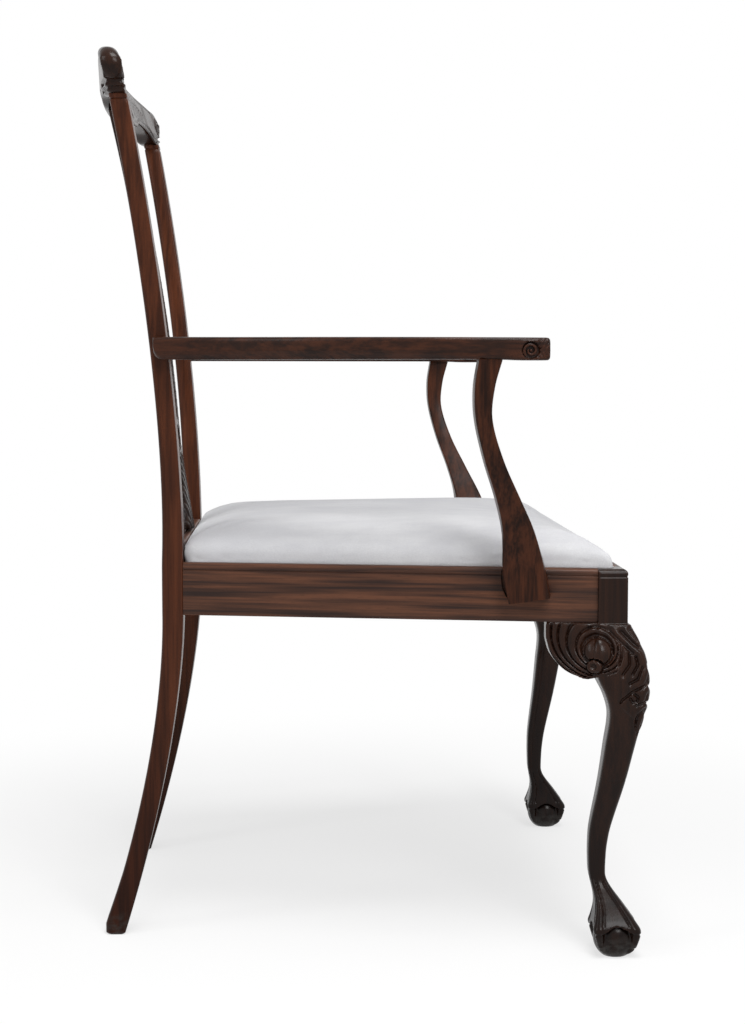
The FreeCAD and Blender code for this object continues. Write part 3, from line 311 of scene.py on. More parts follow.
def lobe(value):
    """A row of rounded ribs with sharp grooves between them, one for each unit of value."""
    share = value - math.floor(value)
    return math.sqrt(max(0.0, 1 - (2 * share - 1) ** 2))


def line_distance(x, y, points):
    """Distance from a point to a line through points."""
    best = 1e9
    for (x0, y0), (x1, y1) in zip(points, points[1:]):
        dx, dy = x1 - x0, y1 - y0
        t = clamp(((x - x0) * dx + (y - y0) * dy) / (dx * dx + dy * dy))
        best = min(best, math.hypot(x - x0 - t * dx, y - y0 - t * dy))
    return best


def groove(distance, width, depth):
    """Height of a rounded groove at a distance from its middle."""
    return -depth * max(0.0, 1 - (distance / width) ** 2) if distance < width else 0.0


def volute(x, y, pitch, turns, hand):
    """Height of a scroll about the origin: a boss inside a roll that winds outwards."""
    radius = math.hypot(x, y)
    if radius < 0.55 * pitch:
        return 0.9 * math.sqrt(1 - (radius / (0.55 * pitch)) ** 2)
    winding = radius / pitch - hand * math.atan2(y, x) / (2 * math.pi)
    if radius > pitch * turns:
        return 0.0
    return lobe(winding) - 0.5 + groove(abs(winding - round(winding)), 0.22, 1.0)


def finish_piece(name, bm, body, nodes, material, crease=40):
    """Make a piece out of bm, put it on its body and let it stand for CAD nodes."""
    to_metres(bm)
    limit = math.radians(crease)
    bm.normal_update()
    for face in bm.faces:
        face.smooth = True
    for edge in bm.edges:
        edge.smooth = len(edge.link_faces) != 2 or edge.calc_face_angle(0.0) < limit
    mesh = mesh_from(name, bm)
    mesh.materials.append(material)
    piece = linked(name, mesh)
    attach(piece, body)
    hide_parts(*nodes)
    return piece


def finish_pair(name, left, nodes, material, crease=40):
    """Make a left-hand piece of the frame and its right-hand twin."""
    right = other_side(left)
    for side, bm in (("left", left), ("right", right)):
        stands_for = [f"{side}_{node}" for node in nodes]
        finish_piece(f"{side}_{name}", bm, FRAME_BODY, stands_for, material, crease)


def node_copy(node):
    """The shape of a CAD node as one merged mesh in millimetres."""
    bm = bmesh.new()
    bm.from_mesh(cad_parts[node].data)
    bmesh.ops.remove_doubles(bm, verts=bm.verts, dist=2e-5)
    bmesh.ops.dissolve_limit(bm, angle_limit=math.radians(1.0), verts=bm.verts, edges=bm.edges)
    to_millimetres(bm)
    return bm


def eased_copy(node, width, steps=3):
    """The shape of a CAD node with its edges softened."""
    def prepare(blank):
        bevel = blank.modifiers.new("Eased edges", "BEVEL")
        bevel.width = width / MM
        bevel.segments = steps
        bevel.limit_method = "ANGLE"
        bevel.angle_limit = math.radians(35)
    return evaluated(node_copy(node), prepare)


# ---------------------------------------------------------------- finishes

def add_node(tree, kind, values=None, links=None, **settings):
    """A node with its own settings, input values and incoming links."""
    made = tree.nodes.new(kind)
    for key, value in settings.items():
        setattr(made, key, value)
    for key, value in (values or {}).items():
        made.inputs[key].default_value = value
    for key, socket in (links or {}).items():
        tree.links.new(socket, made.inputs[key])
    return made


def shader_group(name, inputs, outputs):
    """An empty shader node group, with its inner input and output sockets."""
    tree = bpy.data.node_groups.new(name, "ShaderNodeTree")
    for label, kind, default in inputs:
        socket = tree.interface.new_socket(label, in_out="INPUT", socket_type=kind)
        if default is not None:
            socket.default_value = default
    for label, kind in outputs:
        tree.interface.new_socket(label, in_out="OUTPUT", socket_type=kind)
    return tree, tree.nodes.new("NodeGroupInput").outputs, tree.nodes.new("NodeGroupOutput").inputs


def ramp(tree, value, low, high):
    """A value brought from low..high to 0..1, clamped."""
    return add_node(tree, "ShaderNodeMapRange", {"From Min": low, "From Max": high}, {"Value": value},
                    interpolation_type="SMOOTHSTEP").outputs["Result"]


def maths(tree, operation, a, b):
    """Two values put through a maths node. Each may be a socket or a number."""
    made = add_node(tree, "ShaderNodeMath", operation=operation)
    for i, value in enumerate((a, b)):
        if isinstance(value, (int, float)):
            made.inputs[i].default_value = value
        else:
            tree.links.new(value, made.inputs[i])
    return made.outputs[0]


def mixed(tree, share, a, b, blend="MIX"):
    """Two colours mixed. Each may be a socket or a value."""
    made = add_node(tree, "ShaderNodeMix", data_type="RGBA", blend_type=blend)
    for key, value in ((0, share), (6, a), (7, b)):
        if isinstance(value, bpy.types.NodeSocket):
            tree.links.new(value, made.inputs[key])
        else:
            made.inputs[key].default_value = value
    return made.outputs[2]


def stretched(tree, vector, scale):
    return add_node(tree, "ShaderNodeMapping", {"Scale": scale}, {"Vector": vector}).outputs["Vector"]


def noise(tree, vector, scale, detail=3.0, rough=0.55):
    return add_node(tree, "ShaderNodeTexNoise", {"Scale": scale, "Detail": detail, "Roughness": rough},
                    {"Vector": vector}).outputs["Fac"]


def wood_figure_group():
    """Grain along X: broad streaks, fibres and pores."""
    tree, given, put = shader_group(
        "Wood figure",
        [("Vector", "NodeSocketVector", None), ("Light", "NodeSocketColor", None), ("Dark", "NodeSocketColor", None),
         ("Streaks", "NodeSocketFloat", 0.5), ("Pores", "NodeSocketFloat", 0.5)],
        [("Colour", "NodeSocketColor"), ("Height", "NodeSocketFloat")])
    wander = noise(tree, stretched(tree, given["Vector"], (2.0, 6.0, 6.0)), 1.0, 2.0)
    bent = add_node(tree, "ShaderNodeVectorMath", {1: (0.0, 0.008, 0.008)}, {0: wander}, operation="MULTIPLY")
    vector = add_node(tree, "ShaderNodeVectorMath", None, {0: given["Vector"], 1: bent.outputs[0]},
                      operation="ADD").outputs[0]
    broad = noise(tree, stretched(tree, vector, (5.0, 110.0, 110.0)), 1.0, 2.0, 0.5)
    narrow = noise(tree, stretched(tree, vector, (9.0, 380.0, 380.0)), 1.0, 2.0, 0.6)
    pores = noise(tree, stretched(tree, vector, (90.0, 1700.0, 1700.0)), 1.0, 1.0, 0.5)
    streak = ramp(tree, maths(tree, "ADD", maths(tree, "MULTIPLY", broad, 0.62),
                              maths(tree, "MULTIPLY", narrow, 0.38)), 0.34, 0.66)
    share = maths(tree, "ADD", maths(tree, "MULTIPLY", streak, given["Streaks"]),
                  maths(tree, "MULTIPLY", maths(tree, "SUBTRACT", 1.0, given["Streaks"]), 0.5))
    pit = maths(tree, "MULTIPLY", ramp(tree, pores, 0.60, 0.72), given["Pores"])
    colour = mixed(tree, share, given["Light"], given["Dark"])
    colour = mixed(tree, maths(tree, "MULTIPLY", pit, 0.7), colour, given["Dark"])
    tree.links.new(colour, put["Colour"])
    tree.links.new(maths(tree, "SUBTRACT", maths(tree, "MULTIPLY", narrow, 0.35), pit), put["Height"])
    return tree


def age_and_painted_light_group():
    """Darker recesses and paler edges: old waxy grime with painted shade in the recesses, and edges worn by rubbing
    with a painted sheen.
    """
    tree, given, put = shader_group(
        "Age",
        [("Colour", "NodeSocketColor", None), ("Wax and shade", "NodeSocketColor", None), ("Reach", "NodeSocketFloat", 0.01),
         ("Rub and sheen", "NodeSocketFloat", 0.4), ("Lift", "NodeSocketColor", None)],
        [("Colour", "NodeSocketColor"), ("Recess", "NodeSocketFloat")])
    shade = add_node(tree, "ShaderNodeAmbientOcclusion", None, {"Distance": given["Reach"]}, samples=8,
                     only_local=True).outputs["AO"]
    recess = maths(tree, "SUBTRACT", 1.0, ramp(tree, shade, 0.35, 0.9))
    soft = add_node(tree, "ShaderNodeBevel", {"Radius": 0.0022}, samples=4).outputs["Normal"]
    plain = add_node(tree, "ShaderNodeNewGeometry").outputs["Normal"]
    turn = add_node(tree, "ShaderNodeVectorMath", None, {0: soft, 1: plain},
                    operation="DOT_PRODUCT").outputs["Value"]
    # Painted sheen with real wear: convex edges are lifted paler, worn by rubbing on most woods and given a bluish
    # painted sheen on the carved work.
    edge = maths(tree, "MULTIPLY", ramp(tree, maths(tree, "SUBTRACT", 1.0, turn), 0.01, 0.16),
                 maths(tree, "SUBTRACT", 1.0, recess))
    rubbed_and_sheen = maths(tree, "MULTIPLY", edge, given["Rub and sheen"])
    brighter = mixed(tree, 1.0, given["Colour"], given["Lift"], "MULTIPLY")
    colour = mixed(tree, rubbed_and_sheen, given["Colour"], brighter)
    # Painted shade: recesses found by ambient occlusion are darkened towards the recess colour, partly old waxy
    # grime and partly shade.
    colour = mixed(tree, maths(tree, "MULTIPLY", recess, 0.85), colour, given["Wax and shade"])
    tree.links.new(colour, put["Colour"])
    tree.links.new(recess, put["Recess"])
    return tree


def floor_shade_and_scuffs_group():
    """Painted shade that darkens the wood towards the floor, where less light reaches it, and real scuffs where it
    stands on it.
    """
    tree, given, put = shader_group(
        "Floor shade and scuffs", [("Vector", "NodeSocketVector", None), ("Colour", "NodeSocketColor", None),
                       ("Scuffs", "NodeSocketColor", None)],
        [("Colour", "NodeSocketColor")])
    height = add_node(tree, "ShaderNodeSeparateXYZ", None, {"Vector": given["Vector"]}).outputs["Z"]
    # Painted shade: colour multiplied darker towards the floor, standing in for the light that falls off low down.
    darker = mixed(tree, 1.0, given["Colour"], (0.42, 0.36, 0.32, 1.0), "MULTIPLY")
    colour = mixed(tree, ramp(tree, height, 0.02, 0.36), darker, given["Colour"])
    patchy = ramp(tree, noise(tree, stretched(tree, given["Vector"], (90.0, 90.0, 160.0)), 1.0, 3.0), 0.35, 0.65)
    scuffed = maths(tree, "MULTIPLY", maths(tree, "SUBTRACT", 1.0, ramp(tree, height, 0.010, 0.030)), patchy)
    tree.links.new(mixed(tree, maths(tree, "MULTIPLY", scuffed, 0.7), colour, given["Scuffs"]), put["Colour"])
    return tree


def weave_group():
    """Over-and-under threads along X and Y."""
    tree, given, put = shader_group(
        "Weave", [("Vector", "NodeSocketVector", None), ("Thread", "NodeSocketFloat", 0.001),
                  ("Light", "NodeSocketColor", None), ("Dark", "NodeSocketColor", None)],
        [("Colour", "NodeSocketColor"), ("Height", "NodeSocketFloat")])
    scale = maths(tree, "DIVIDE", math.pi, given["Thread"])
    axes = add_node(tree, "ShaderNodeSeparateXYZ", None, {"Vector": given["Vector"]}).outputs
    waves = [add_node(tree, "ShaderNodeMath", None, {0: maths(tree, "MULTIPLY", axes[i], scale)},
                      operation="SINE").outputs[0] for i in range(2)]
    over = maths(tree, "MULTIPLY", waves[0], waves[1])
    height = ramp(tree, over, -1.0, 1.0)
    fuzz = noise(tree, given["Vector"], 600.0, 3.0)
    colour = mixed(tree, maths(tree, "MULTIPLY", height, fuzz), given["Dark"], given["Light"])
    tree.links.new(colour, put["Colour"])
    tree.links.new(height, put["Height"])
    return tree


def pile_group():
    """Velvet pile: brushed patches and the fine points of the pile."""
    tree, given, put = shader_group(
        "Velvet pile", [("Vector", "NodeSocketVector", None), ("Colour", "NodeSocketColor", None)],
        [("Colour", "NodeSocketColor"), ("Height", "NodeSocketFloat")])
    brushed = noise(tree, stretched(tree, given["Vector"], (9.0, 5.0, 9.0)), 1.0, 4.0, 0.6)
    strokes = noise(tree, stretched(tree, given["Vector"], (60.0, 22.0, 60.0)), 1.0, 3.0, 0.6)
    points = noise(tree, given["Vector"], 1500.0, 2.0, 0.7)
    lie = ramp(tree, maths(tree, "ADD", maths(tree, "MULTIPLY", brushed, 0.65),
                           maths(tree, "MULTIPLY", strokes, 0.35)), 0.34, 0.66)
    darker = mixed(tree, 1.0, given["Colour"], (0.90, 0.90, 0.91, 1.0), "MULTIPLY")
    lighter = mixed(tree, 1.0, given["Colour"], (1.06, 1.06, 1.05, 1.0), "MULTIPLY")
    colour = mixed(tree, lie, darker, lighter)
    tip = mixed(tree, 1.0, colour, (0.82, 0.82, 0.83, 1.0), "MULTIPLY")
    tree.links.new(mixed(tree, ramp(tree, points, 0.35, 0.65), tip, colour), put["Colour"])
    tree.links.new(maths(tree, "ADD", points, maths(tree, "MULTIPLY", lie, 0.4)), put["Height"])
    return tree


def group_node(tree, build, name, values, links):
    """Outputs of a shader group in a material. The group is built once."""
    made = tree.nodes.new("ShaderNodeGroup")
    made.node_tree = bpy.data.node_groups.get(name) or build()
    for key, value in values.items():
        made.inputs[key].default_value = value
    for key, socket in links.items():
        tree.links.new(socket, made.inputs[key])
    return made.outputs


def new_material(name):
    material = bpy.data.materials.new(name)
    material.use_nodes = True
    return material, material.node_tree, material.node_tree.nodes["Principled BSDF"].inputs


def rgba(colour):
    return (*colour, 1.0)


# Turns that lay the grain along an axis of the chair or along one of the side rails.
GRAIN_TURNS = {
    "X": (0.0, 0.0, 0.0),
    "Y": (0.0, 0.0, -math.pi / 2),
    "Z": (0.0, math.pi / 2, 0.0),
    "left": (0.0, 0.0, -math.pi / 2 - math.atan(TAPER)),
    "right": (0.0, 0.0, -math.pi / 2 + math.atan(TAPER)),
}


def polished_wood(name, grain, light, dark, streaks, pores=0.5, reach=0.010, rub_and_sheen=0.4, lift=(1.9, 1.75, 1.6),
                  rough=(0.24, 0.46), gloss=0.085):
    """Polished wood: its grain and colours, old waxy grime and painted shade in its recesses, edges worn paler by
    rubbing with a painted sheen, and its shine.
    """
    if name in bpy.data.materials:
        return bpy.data.materials[name]
    material, tree, shader = new_material(name)
    place = add_node(tree, "ShaderNodeTexCoord").outputs["Object"]
    turned = add_node(tree, "ShaderNodeMapping", {"Rotation": GRAIN_TURNS[grain]},
                      {"Vector": place}).outputs["Vector"]
    figure = group_node(tree, wood_figure_group, "Wood figure",
                        {"Light": rgba(light), "Dark": rgba(dark), "Streaks": streaks, "Pores": pores},
                        {"Vector": turned})
    # Painted shade in the recesses and painted sheen on the edges, with real grime and wear.
    aged_with_painted_light = group_node(tree, age_and_painted_light_group, "Age",
                     {"Wax and shade": rgba(colours().wax_and_shade), "Reach": reach, "Rub and sheen": rub_and_sheen, "Lift": rgba(lift)},
                     {"Colour": figure["Colour"]})
    # Painted shade towards the floor, with real scuffs under the feet.
    dirt_and_shade = group_node(tree, floor_shade_and_scuffs_group, "Floor shade and scuffs", {"Scuffs": rgba(colours().scuffs)},
                      {"Vector": place, "Colour": aged_with_painted_light["Colour"]})
    tree.links.new(dirt_and_shade["Colour"], shader["Base Color"])
    smear = noise(tree, place, 38.0, 4.0)
    dull = maths(tree, "ADD", maths(tree, "MULTIPLY", smear, 0.7), maths(tree, "MULTIPLY", aged_with_painted_light["Recess"], 0.6))
    tree.links.new(add_node(tree, "ShaderNodeMapRange", {"To Min": rough[0], "To Max": rough[1]},
                            {"Value": dull}).outputs["Result"], shader["Roughness"])
    relief = add_node(tree, "ShaderNodeBump", {"Strength": 0.10, "Distance": 0.0004}, {"Height": figure["Height"]})
    tree.links.new(relief.outputs["Normal"], shader["Normal"])
    shader["Specular IOR Level"].default_value = gloss
    shader["Coat Weight"].default_value = 0.035
    shader["Coat Roughness"].default_value = 0.12
    return material


def upright_mahogany():
    c = colours()
    return polished_wood("mahogany_upright", "Z", c.mahogany_light, c.mahogany_dark, 0.75)


def rail_mahogany(grain):
    c = colours()
    return polished_wood(f"mahogany_rail_{grain.lower()}", grain, c.rail_light, c.rail_dark, 1.0, rub_and_sheen=0.1)


def carved_mahogany(grain):
    c = colours()
    # The bluish lift paints a grey-blue sheen onto the edges of the carving.
    return polished_wood(f"mahogany_carved_{grain.lower()}", grain, c.carved_light, c.carved_dark, 0.6,
                         reach=0.007, rub_and_sheen=0.8, lift=(3.2, 3.6, 4.4), rough=(0.16, 0.36), gloss=0.13)


def middling_mahogany(name, grain, share, streaks, rub_and_sheen, gloss=0.085):
    """Mahogany between the carved work and the posts in colour."""
    c = colours()
    light = [mix(a, b, share) for a, b in zip(c.carved_light, c.mahogany_light)]
    return polished_wood(name, grain, light, c.carved_dark, streaks, rub_and_sheen=rub_and_sheen, gloss=gloss)


def arm_mahogany():
    return middling_mahogany("mahogany_arm", "Y", 0.45, 0.7, 0.5, 0.14)


def support_mahogany():
    return middling_mahogany("mahogany_support", "Z", 0.6, 0.8, 0.45)


def beech():
    c = colours()
    dark = [0.62 * v for v in c.beech]
    return polished_wood("beech", "X", c.beech, dark, 0.6, pores=0.25, rub_and_sheen=0.1, rough=(0.55, 0.75))


def velvet():
    material, tree, shader = new_material("velvet")
    place = add_node(tree, "ShaderNodeTexCoord").outputs["Object"]
    pile = group_node(tree, pile_group, "Velvet pile", {"Colour": rgba(colours().velvet)}, {"Vector": place})
    tree.links.new(pile["Colour"], shader["Base Color"])
    relief = add_node(tree, "ShaderNodeBump", {"Strength": 0.35, "Distance": 0.0006}, {"Height": pile["Height"]})
    tree.links.new(relief.outputs["Normal"], shader["Normal"])
    shader["Roughness"].default_value = 0.95
    shader["Specular IOR Level"].default_value = 0.15
    shader["Sheen Weight"].default_value = 0.45
    shader["Sheen Roughness"].default_value = 0.35
    shader["Sheen Tint"].default_value = (0.92, 0.93, 0.96, 1.0)
    return material


def woven(name, thread, light, dark):
    """Plain-woven cloth with threads of one width."""
    if name in bpy.data.materials:
        return bpy.data.materials[name]
    material, tree, shader = new_material(name)
    place = add_node(tree, "ShaderNodeTexCoord").outputs["Object"]
    weave = group_node(tree, weave_group, "Weave",
                       {"Thread": thread, "Light": rgba(light), "Dark": rgba(dark)}, {"Vector": place})
    tree.links.new(weave["Colour"], shader["Base Color"])
    relief = add_node(tree, "ShaderNodeBump", {"Strength": 0.6, "Distance": thread / 3},
                      {"Height": weave["Height"]})
    tree.links.new(relief.outputs["Normal"], shader["Normal"])
    shader["Roughness"].default_value = 0.9
    return material


def old_steel():
    if "old_steel" in bpy.data.materials:
        return bpy.data.materials["old_steel"]
    material, tree, shader = new_material("old_steel")
    place = add_node(tree, "ShaderNodeTexCoord").outputs["Object"]
    spots = ramp(tree, noise(tree, place, 700.0, 4.0), 0.45, 0.7)
    tree.links.new(mixed(tree, spots, (0.30, 0.29, 0.28, 1.0), (0.10, 0.055, 0.03, 1.0)), shader["Base Color"])
    tree.links.new(add_node(tree, "ShaderNodeMapRange", {"To Min": 0.32, "To Max": 0.7},
                            {"Value": spots}).outputs["Result"], shader["Roughness"])
    shader["Metallic"].default_value = 1.0
    return material


# ---------------------------------------------------------------- back posts

def post_station(z):
    """Front, depth, outer face and width of a back post at a height."""
    if z >= RAIL_TOP:
        u = clamp((z - RAIL_TOP) / (POST_TOP - RAIL_TOP))
        return POST_Y + 54.5 * u ** 1.75, 20 + 4 * (1 - u) ** 6, 212 + 35 * u ** 1.4, 36 - 8 * u
    t = clamp(1 - z / RAIL_BOTTOM)
    depth = 24 - 2.5 * math.sin(math.pi * t) + 12.5 * max(0.0, t - 0.8)
    return POST_Y + 70 * t ** 1.63, depth, 212 - 10.5 * t, 36 - 6 * t


# Furthest that the foot of a back leg reaches to the rear.
HEEL = sum(post_station(13.0)[:2])


def back_post():
    """A back leg and post in one, with a scribed line under the crest rail."""
    heights = [0.0, 2.2, 6.0] + [12.0 + 10.0 * i for i in range(92)]
    heights += [930.0, 934.5, 936.0, 937.5, POST_TOP]
    rings = []
    for z in sorted(h for h in heights if h <= POST_TOP):
        front, depth, outer, width = post_station(z)
        inset = 2.0 * (1 - clamp(z / 2.2)) + (1.1 if z == 936.0 else 0.0)
        x0, x1 = outer - width + inset, outer - inset
        y0, y1 = front + inset, min(front + depth, HEEL) - inset
        corners = [Vector((x0, y0, z)), Vector((x1, y0, z)), Vector((x1, y1, z)), Vector((x0, y1, z))]
        rings.append(rounded_ring(corners, (2.5, 2.5, 7.0, 7.0)))
    return solid(rings)


class ARMCHAIR_OT_back_posts(bpy.types.Operator):
    """Swept back legs that rise into the posts of the back"""
    bl_idname = "armchair.back_posts"
    bl_label = "Back posts"

    def execute(self, context):
        finish_pair("back_post_shaped", back_post(), ["back_post"], upright_mahogany())
        return {"FINISHED"}


# ---------------------------------------------------------------- seat rails and blocks

def thumbnail(z):
    """How far the moulding along the top of the seat rails is cut back at a height."""
    if z > RAIL_TOP - 6.0:
        return 6.0 - math.sqrt(max(0.0, 36.0 - (z - RAIL_TOP + 6.0) ** 2))
    return -groove(abs(z - RAIL_TOP + 8.2), 1.2, 1.2)


def moulded(bm, inside, inward):
    """Cut the moulding into an upper edge. inside gives a point's distance behind the face of the rail."""
    for vertex in bm.verts:
        short = thumbnail(vertex.co.z) - inside(vertex.co)
        if -8.0 < short - thumbnail(vertex.co.z) < 0.5 and short > 0.0:
            vertex.co += inward * short


def ruled(bm, heights):
    """Level cuts across a mesh."""
    for z in heights:
        everything = bm.verts[:] + bm.edges[:] + bm.faces[:]
        bmesh.ops.bisect_plane(bm, geom=everything, plane_co=(0, 0, z), plane_no=(0, 0, 1), dist=0.01)


def side_inside(point):
    """How far a point lies inside the outer face of the side rail next to it."""
    return (CORNER_X - TAPER * (point.y - FRONT_Y) - abs(point.x)) / SLANT


def front_inside(point):
    """How far a point lies behind the face of the front rail."""
    return point.y - FRONT_Y


# Depths below the top of a rail at which its moulding is cut.
MOULDING_DEPTHS = (0.6, 1.4, 2.3, 3.4, 4.6, 6.0, 7.2, 7.7, 8.2, 8.7, 9.3)


def rail(node):
    """A seat rail or the shoe. The front and side rails are moulded along the top."""
    bm = eased_copy(node, sizes().edge)
    if node in ("splat_shoe", "back_seat_rail"):
        return bm
    ruled(bm, [RAIL_TOP - drop for drop in MOULDING_DEPTHS])
    if node == "front_seat_rail":
        moulded(bm, front_inside, Vector((0, 1, 0)))
    else:
        side = 1 if node.startswith("left") else -1
        moulded(bm, side_inside, Vector((-side, -TAPER, 0)).normalized())
    return bm


class ARMCHAIR_OT_rails(bpy.types.Operator):
    """Seat rails with softened edges, and the shoe under the splat"""
    bl_idname = "armchair.rails"
    bl_label = "Seat rails"

    def execute(self, context):
        rows = (("left_side_rail", "left"), ("right_side_rail", "right"), ("front_seat_rail", "X"),
                ("back_seat_rail", "X"), ("splat_shoe", "X"))
        for node, grain in rows:
            finish_piece(f"{node}_shaped", rail(node), FRAME_BODY, [node], rail_mahogany(grain))
        return {"FINISHED"}


class ARMCHAIR_OT_blocks(bpy.types.Operator):
    """Corner blocks inside the rails"""
    bl_idname = "armchair.blocks"
    bl_label = "Corner blocks"

    def execute(self, context):
        for side in ("left", "right"):
            for end in ("front", "back"):
                node = f"{side}_{end}_corner_block"
                finish_piece(f"{node}_shaped", eased_copy(node, 0.0012), FRAME_BODY, [node], beech())
        return {"FINISHED"}


# ---------------------------------------------------------------- front legs

# Height as a share of the leg, outward shift, width and corner radius.
LEG_STATIONS = (
    (0.073, 6.5, 51.5, 11.0), (0.088, 5.9, 50.2, 11.0), (0.105, 4.85, 46.1, 10.0), (0.121, 3.55, 40.9, 9.0),
    (0.138, 1.85, 35.5, 8.0), (0.155, -0.2, 30.4, 7.5), (0.172, -2.85, 25.7, 7.0), (0.189, -5.7, 22.0, 6.5),
    (0.206, -8.4, 19.4, 6.0), (0.222, -10.4, 18.3, 6.0), (0.239, -11.5, 18.6, 6.0), (0.285, -11.7, 19.8, 6.0),
    (0.323, -11.2, 21.0, 6.5), (0.38, -8.95, 23.4, 7.0), (0.52, 1.5, 28.9, 8.0), (0.64, 8.8, 33.3, 9.0),
    (0.73, 14.0, 37.0, 9.5), (0.785, 13.7, 45.3, 10.0), (0.845, 8.8, 55.0, 9.0), (0.9, 5.9, 53.8, 7.0),
    (0.95, 3.6, 45.5, 4.0), (1.0, 0.0, 32.5, 1.5),
)
FOOT_SHIFT = 6.5
LEG_BLOCK = 32.5
LEG_X = CORNER_X - LEG_BLOCK / 2
LEG_Y = FRONT_Y + LEG_BLOCK / 2
BALL = Vector((LEG_X + FOOT_SHIFT, LEG_Y - FOOT_SHIFT, 19.5))
BALL_RADIUS = 24.0
# Height of a claw, its distance from the middle of the foot and its radius.
CLAW_ROWS = ((92.0, 7.8, 2.4), (82.0, 8.3, 2.9), (76.0, 9.05, 3.2), (69.7, 10.4, 3.5), (63.5, 12.4, 3.8),
             (57.3, 15.0, 4.2), (51.0, 18.0, 4.6), (44.8, 21.5, 5.1), (38.6, 24.8, 5.7), (32.4, 27.6, 6.6),
             (26.2, 28.4, 5.6), (16.9, 26.2, 4.7), (10.7, 23.6, 4.2), (5.0, 18.9, 3.3), (2.4, 16.0, 2.0))


def foot_shift(z):
    """Outward shift of the middle of the leg near its foot."""
    return row_at(LEG_STATIONS, z / RAIL_BOTTOM)[0] if z > 27.0 else FOOT_SHIFT


def closed_pairs(ring):
    """Each item of a closed ring with the next."""
    return zip(ring, ring[1:] + ring[:1])


def square_ring(x, y, z, width, corner):
    half = width / 2
    corners = [Vector((x - half, y - half, z)), Vector((x + half, y - half, z)),
               Vector((x + half, y + half, z)), Vector((x - half, y + half, z))]
    ring = []
    for point, after in closed_pairs(rounded_ring(corners, [corner] * 4, 6)):
        long = (after - point).length > 0.2 * width
        ring += [point.lerp(after, k / 8) for k in range(8 if long else 1)]
    return ring


def leg_ring(share):
    shift, width, corner = row_at(LEG_STATIONS, share)
    return square_ring(LEG_X + shift, LEG_Y - shift, RAIL_BOTTOM * share, width, corner)


def arched_ring(share):
    """A ring of the leg, lifted over the ball in the middle of each side near the foot."""
    ring = leg_ring(share)
    if share > 0.16:
        return ring
    low = LEG_STATIONS[0][0]
    middle = sum(ring, Vector()) / len(ring)
    lifted = []
    for k, point in enumerate(ring):
        angle = math.atan2(point.y - middle.y, point.x - middle.x)
        start = low + 0.023 * math.cos(2 * angle) ** 2
        lifted.append(leg_ring(mix(start, 0.16, (share - low) / (0.16 - low)))[k])
    return lifted


def leg_blank():
    rings = [square_ring(BALL.x, BALL.y, 38.0, 34.0, 11.0)]
    rings += [arched_ring(mix(LEG_STATIONS[0][0], 1.0, i / 110)) for i in range(111)]
    bm = solid(rings)
    block = [square_ring(LEG_X, LEG_Y, z, LEG_BLOCK, 1.5) for z in (RAIL_BOTTOM - 2, RAIL_TOP)]
    return added(bm, solid(block))


def ball_and_claws():
    bm = bmesh.new()
    bmesh.ops.create_uvsphere(bm, u_segments=48, v_segments=32, radius=BALL_RADIUS)
    for vertex in bm.verts:
        vertex.co += BALL
    for quarter in range(4):
        angle = math.radians(45 + 90 * quarter)
        out = Vector((math.cos(angle), math.sin(angle), 0))
        side = Vector((-out.y, out.x, 0))
        rings = []
        steps = 48
        rows = [(-z, away, radius) for z, away, radius in CLAW_ROWS]
        for i in range(steps + 1):
            z = mix(CLAW_ROWS[0][0], CLAW_ROWS[-1][0], i / steps)
            away, radius = row_at(rows, -z)
            shift = foot_shift(z)
            broad = mix(0.85, 1.08, ease(20.0, 36.0, z))
            middle = Vector((LEG_X + shift, LEG_Y - shift, z)) + out * away
            ring = []
            for k in range(16):
                turn = 2 * math.pi * k / 16
                ring.append(middle + out * (radius * math.cos(turn)) + side * (broad * radius * math.sin(turn)))
            rings.append(ring)
        added(bm, solid(rings))
    return bm


def bracket_under(a):
    """Lower edge of a knee bracket at a distance behind the corner of the chair."""
    return through([(8.0, 330.0), (20.0, 324.0), (28.0, 318.0), (33.0, 314.0), (38.0, 311.5), (43.0, 310.3),
                    (57.0, 312.0), (69.0, 317.8), (78.5, 328.0), (84.0, 338.0), (87.0, 350.0)], a)


def bracket_face(a, z):
    """How far a knee bracket stands out from the face of the rail."""
    leg = through([(290.0, 21.6), (312.0, 21.3), (333.0, 17.6), (350.0, 10.0), (369.0, 0.5)], z)
    return leg * (1 - ease(20.0, 87.0, a)) + mix(-2.0, 0.8, ease(20.0, 45.0, a))


def knee_bracket(on_side):
    """A knee bracket under the side rail or under the front rail."""
    rings = []
    for i in range(45):
        a = mix(8.0, 87.0, i / 44)
        low = bracket_under(a)
        profile = [(bracket_face(a, z), z) for z in (mix(low, RAIL_BOTTOM - 0.1, k / 14) for k in range(15))]
        profile += [(-20.0, RAIL_BOTTOM - 0.1), (-20.0, low)]
        if on_side:
            face = CORNER_X - TAPER * a * ease(16.0, 70.0, a)
            rings.append([Vector((face + n, FRONT_Y + a, z)) for n, z in profile])
        else:
            rings.append([Vector((CORNER_X - a, FRONT_Y - n, z)) for n, z in profile])
    return solid(rings)


# Circles of the knee carving as (distance behind the corner, height, radius).
BOSS = (34.5, 339.8, 14.4)
BEAD = (38.0, 323.8, 7.2)
RIM = (35.8, 361.5, 54.0)
RIBS = (0.06, 0.185, 0.42, 0.64, 0.82, 0.985)


def rib_share(a, z):
    """Which of the nested circles between the boss and the bracket's edge a point is on."""
    dx, dz, dr = RIM[0] - BOSS[0], RIM[1] - BOSS[1], RIM[2] - BOSS[2]
    px, pz = a - BOSS[0], z - BOSS[1]
    qa = dx * dx + dz * dz - dr * dr
    qb = -2 * (px * dx + pz * dz + BOSS[2] * dr)
    qc = px * px + pz * pz - BOSS[2] ** 2
    root = qb * qb - 4 * qa * qc
    return (-qb - math.sqrt(max(0.0, root))) / (2 * qa)


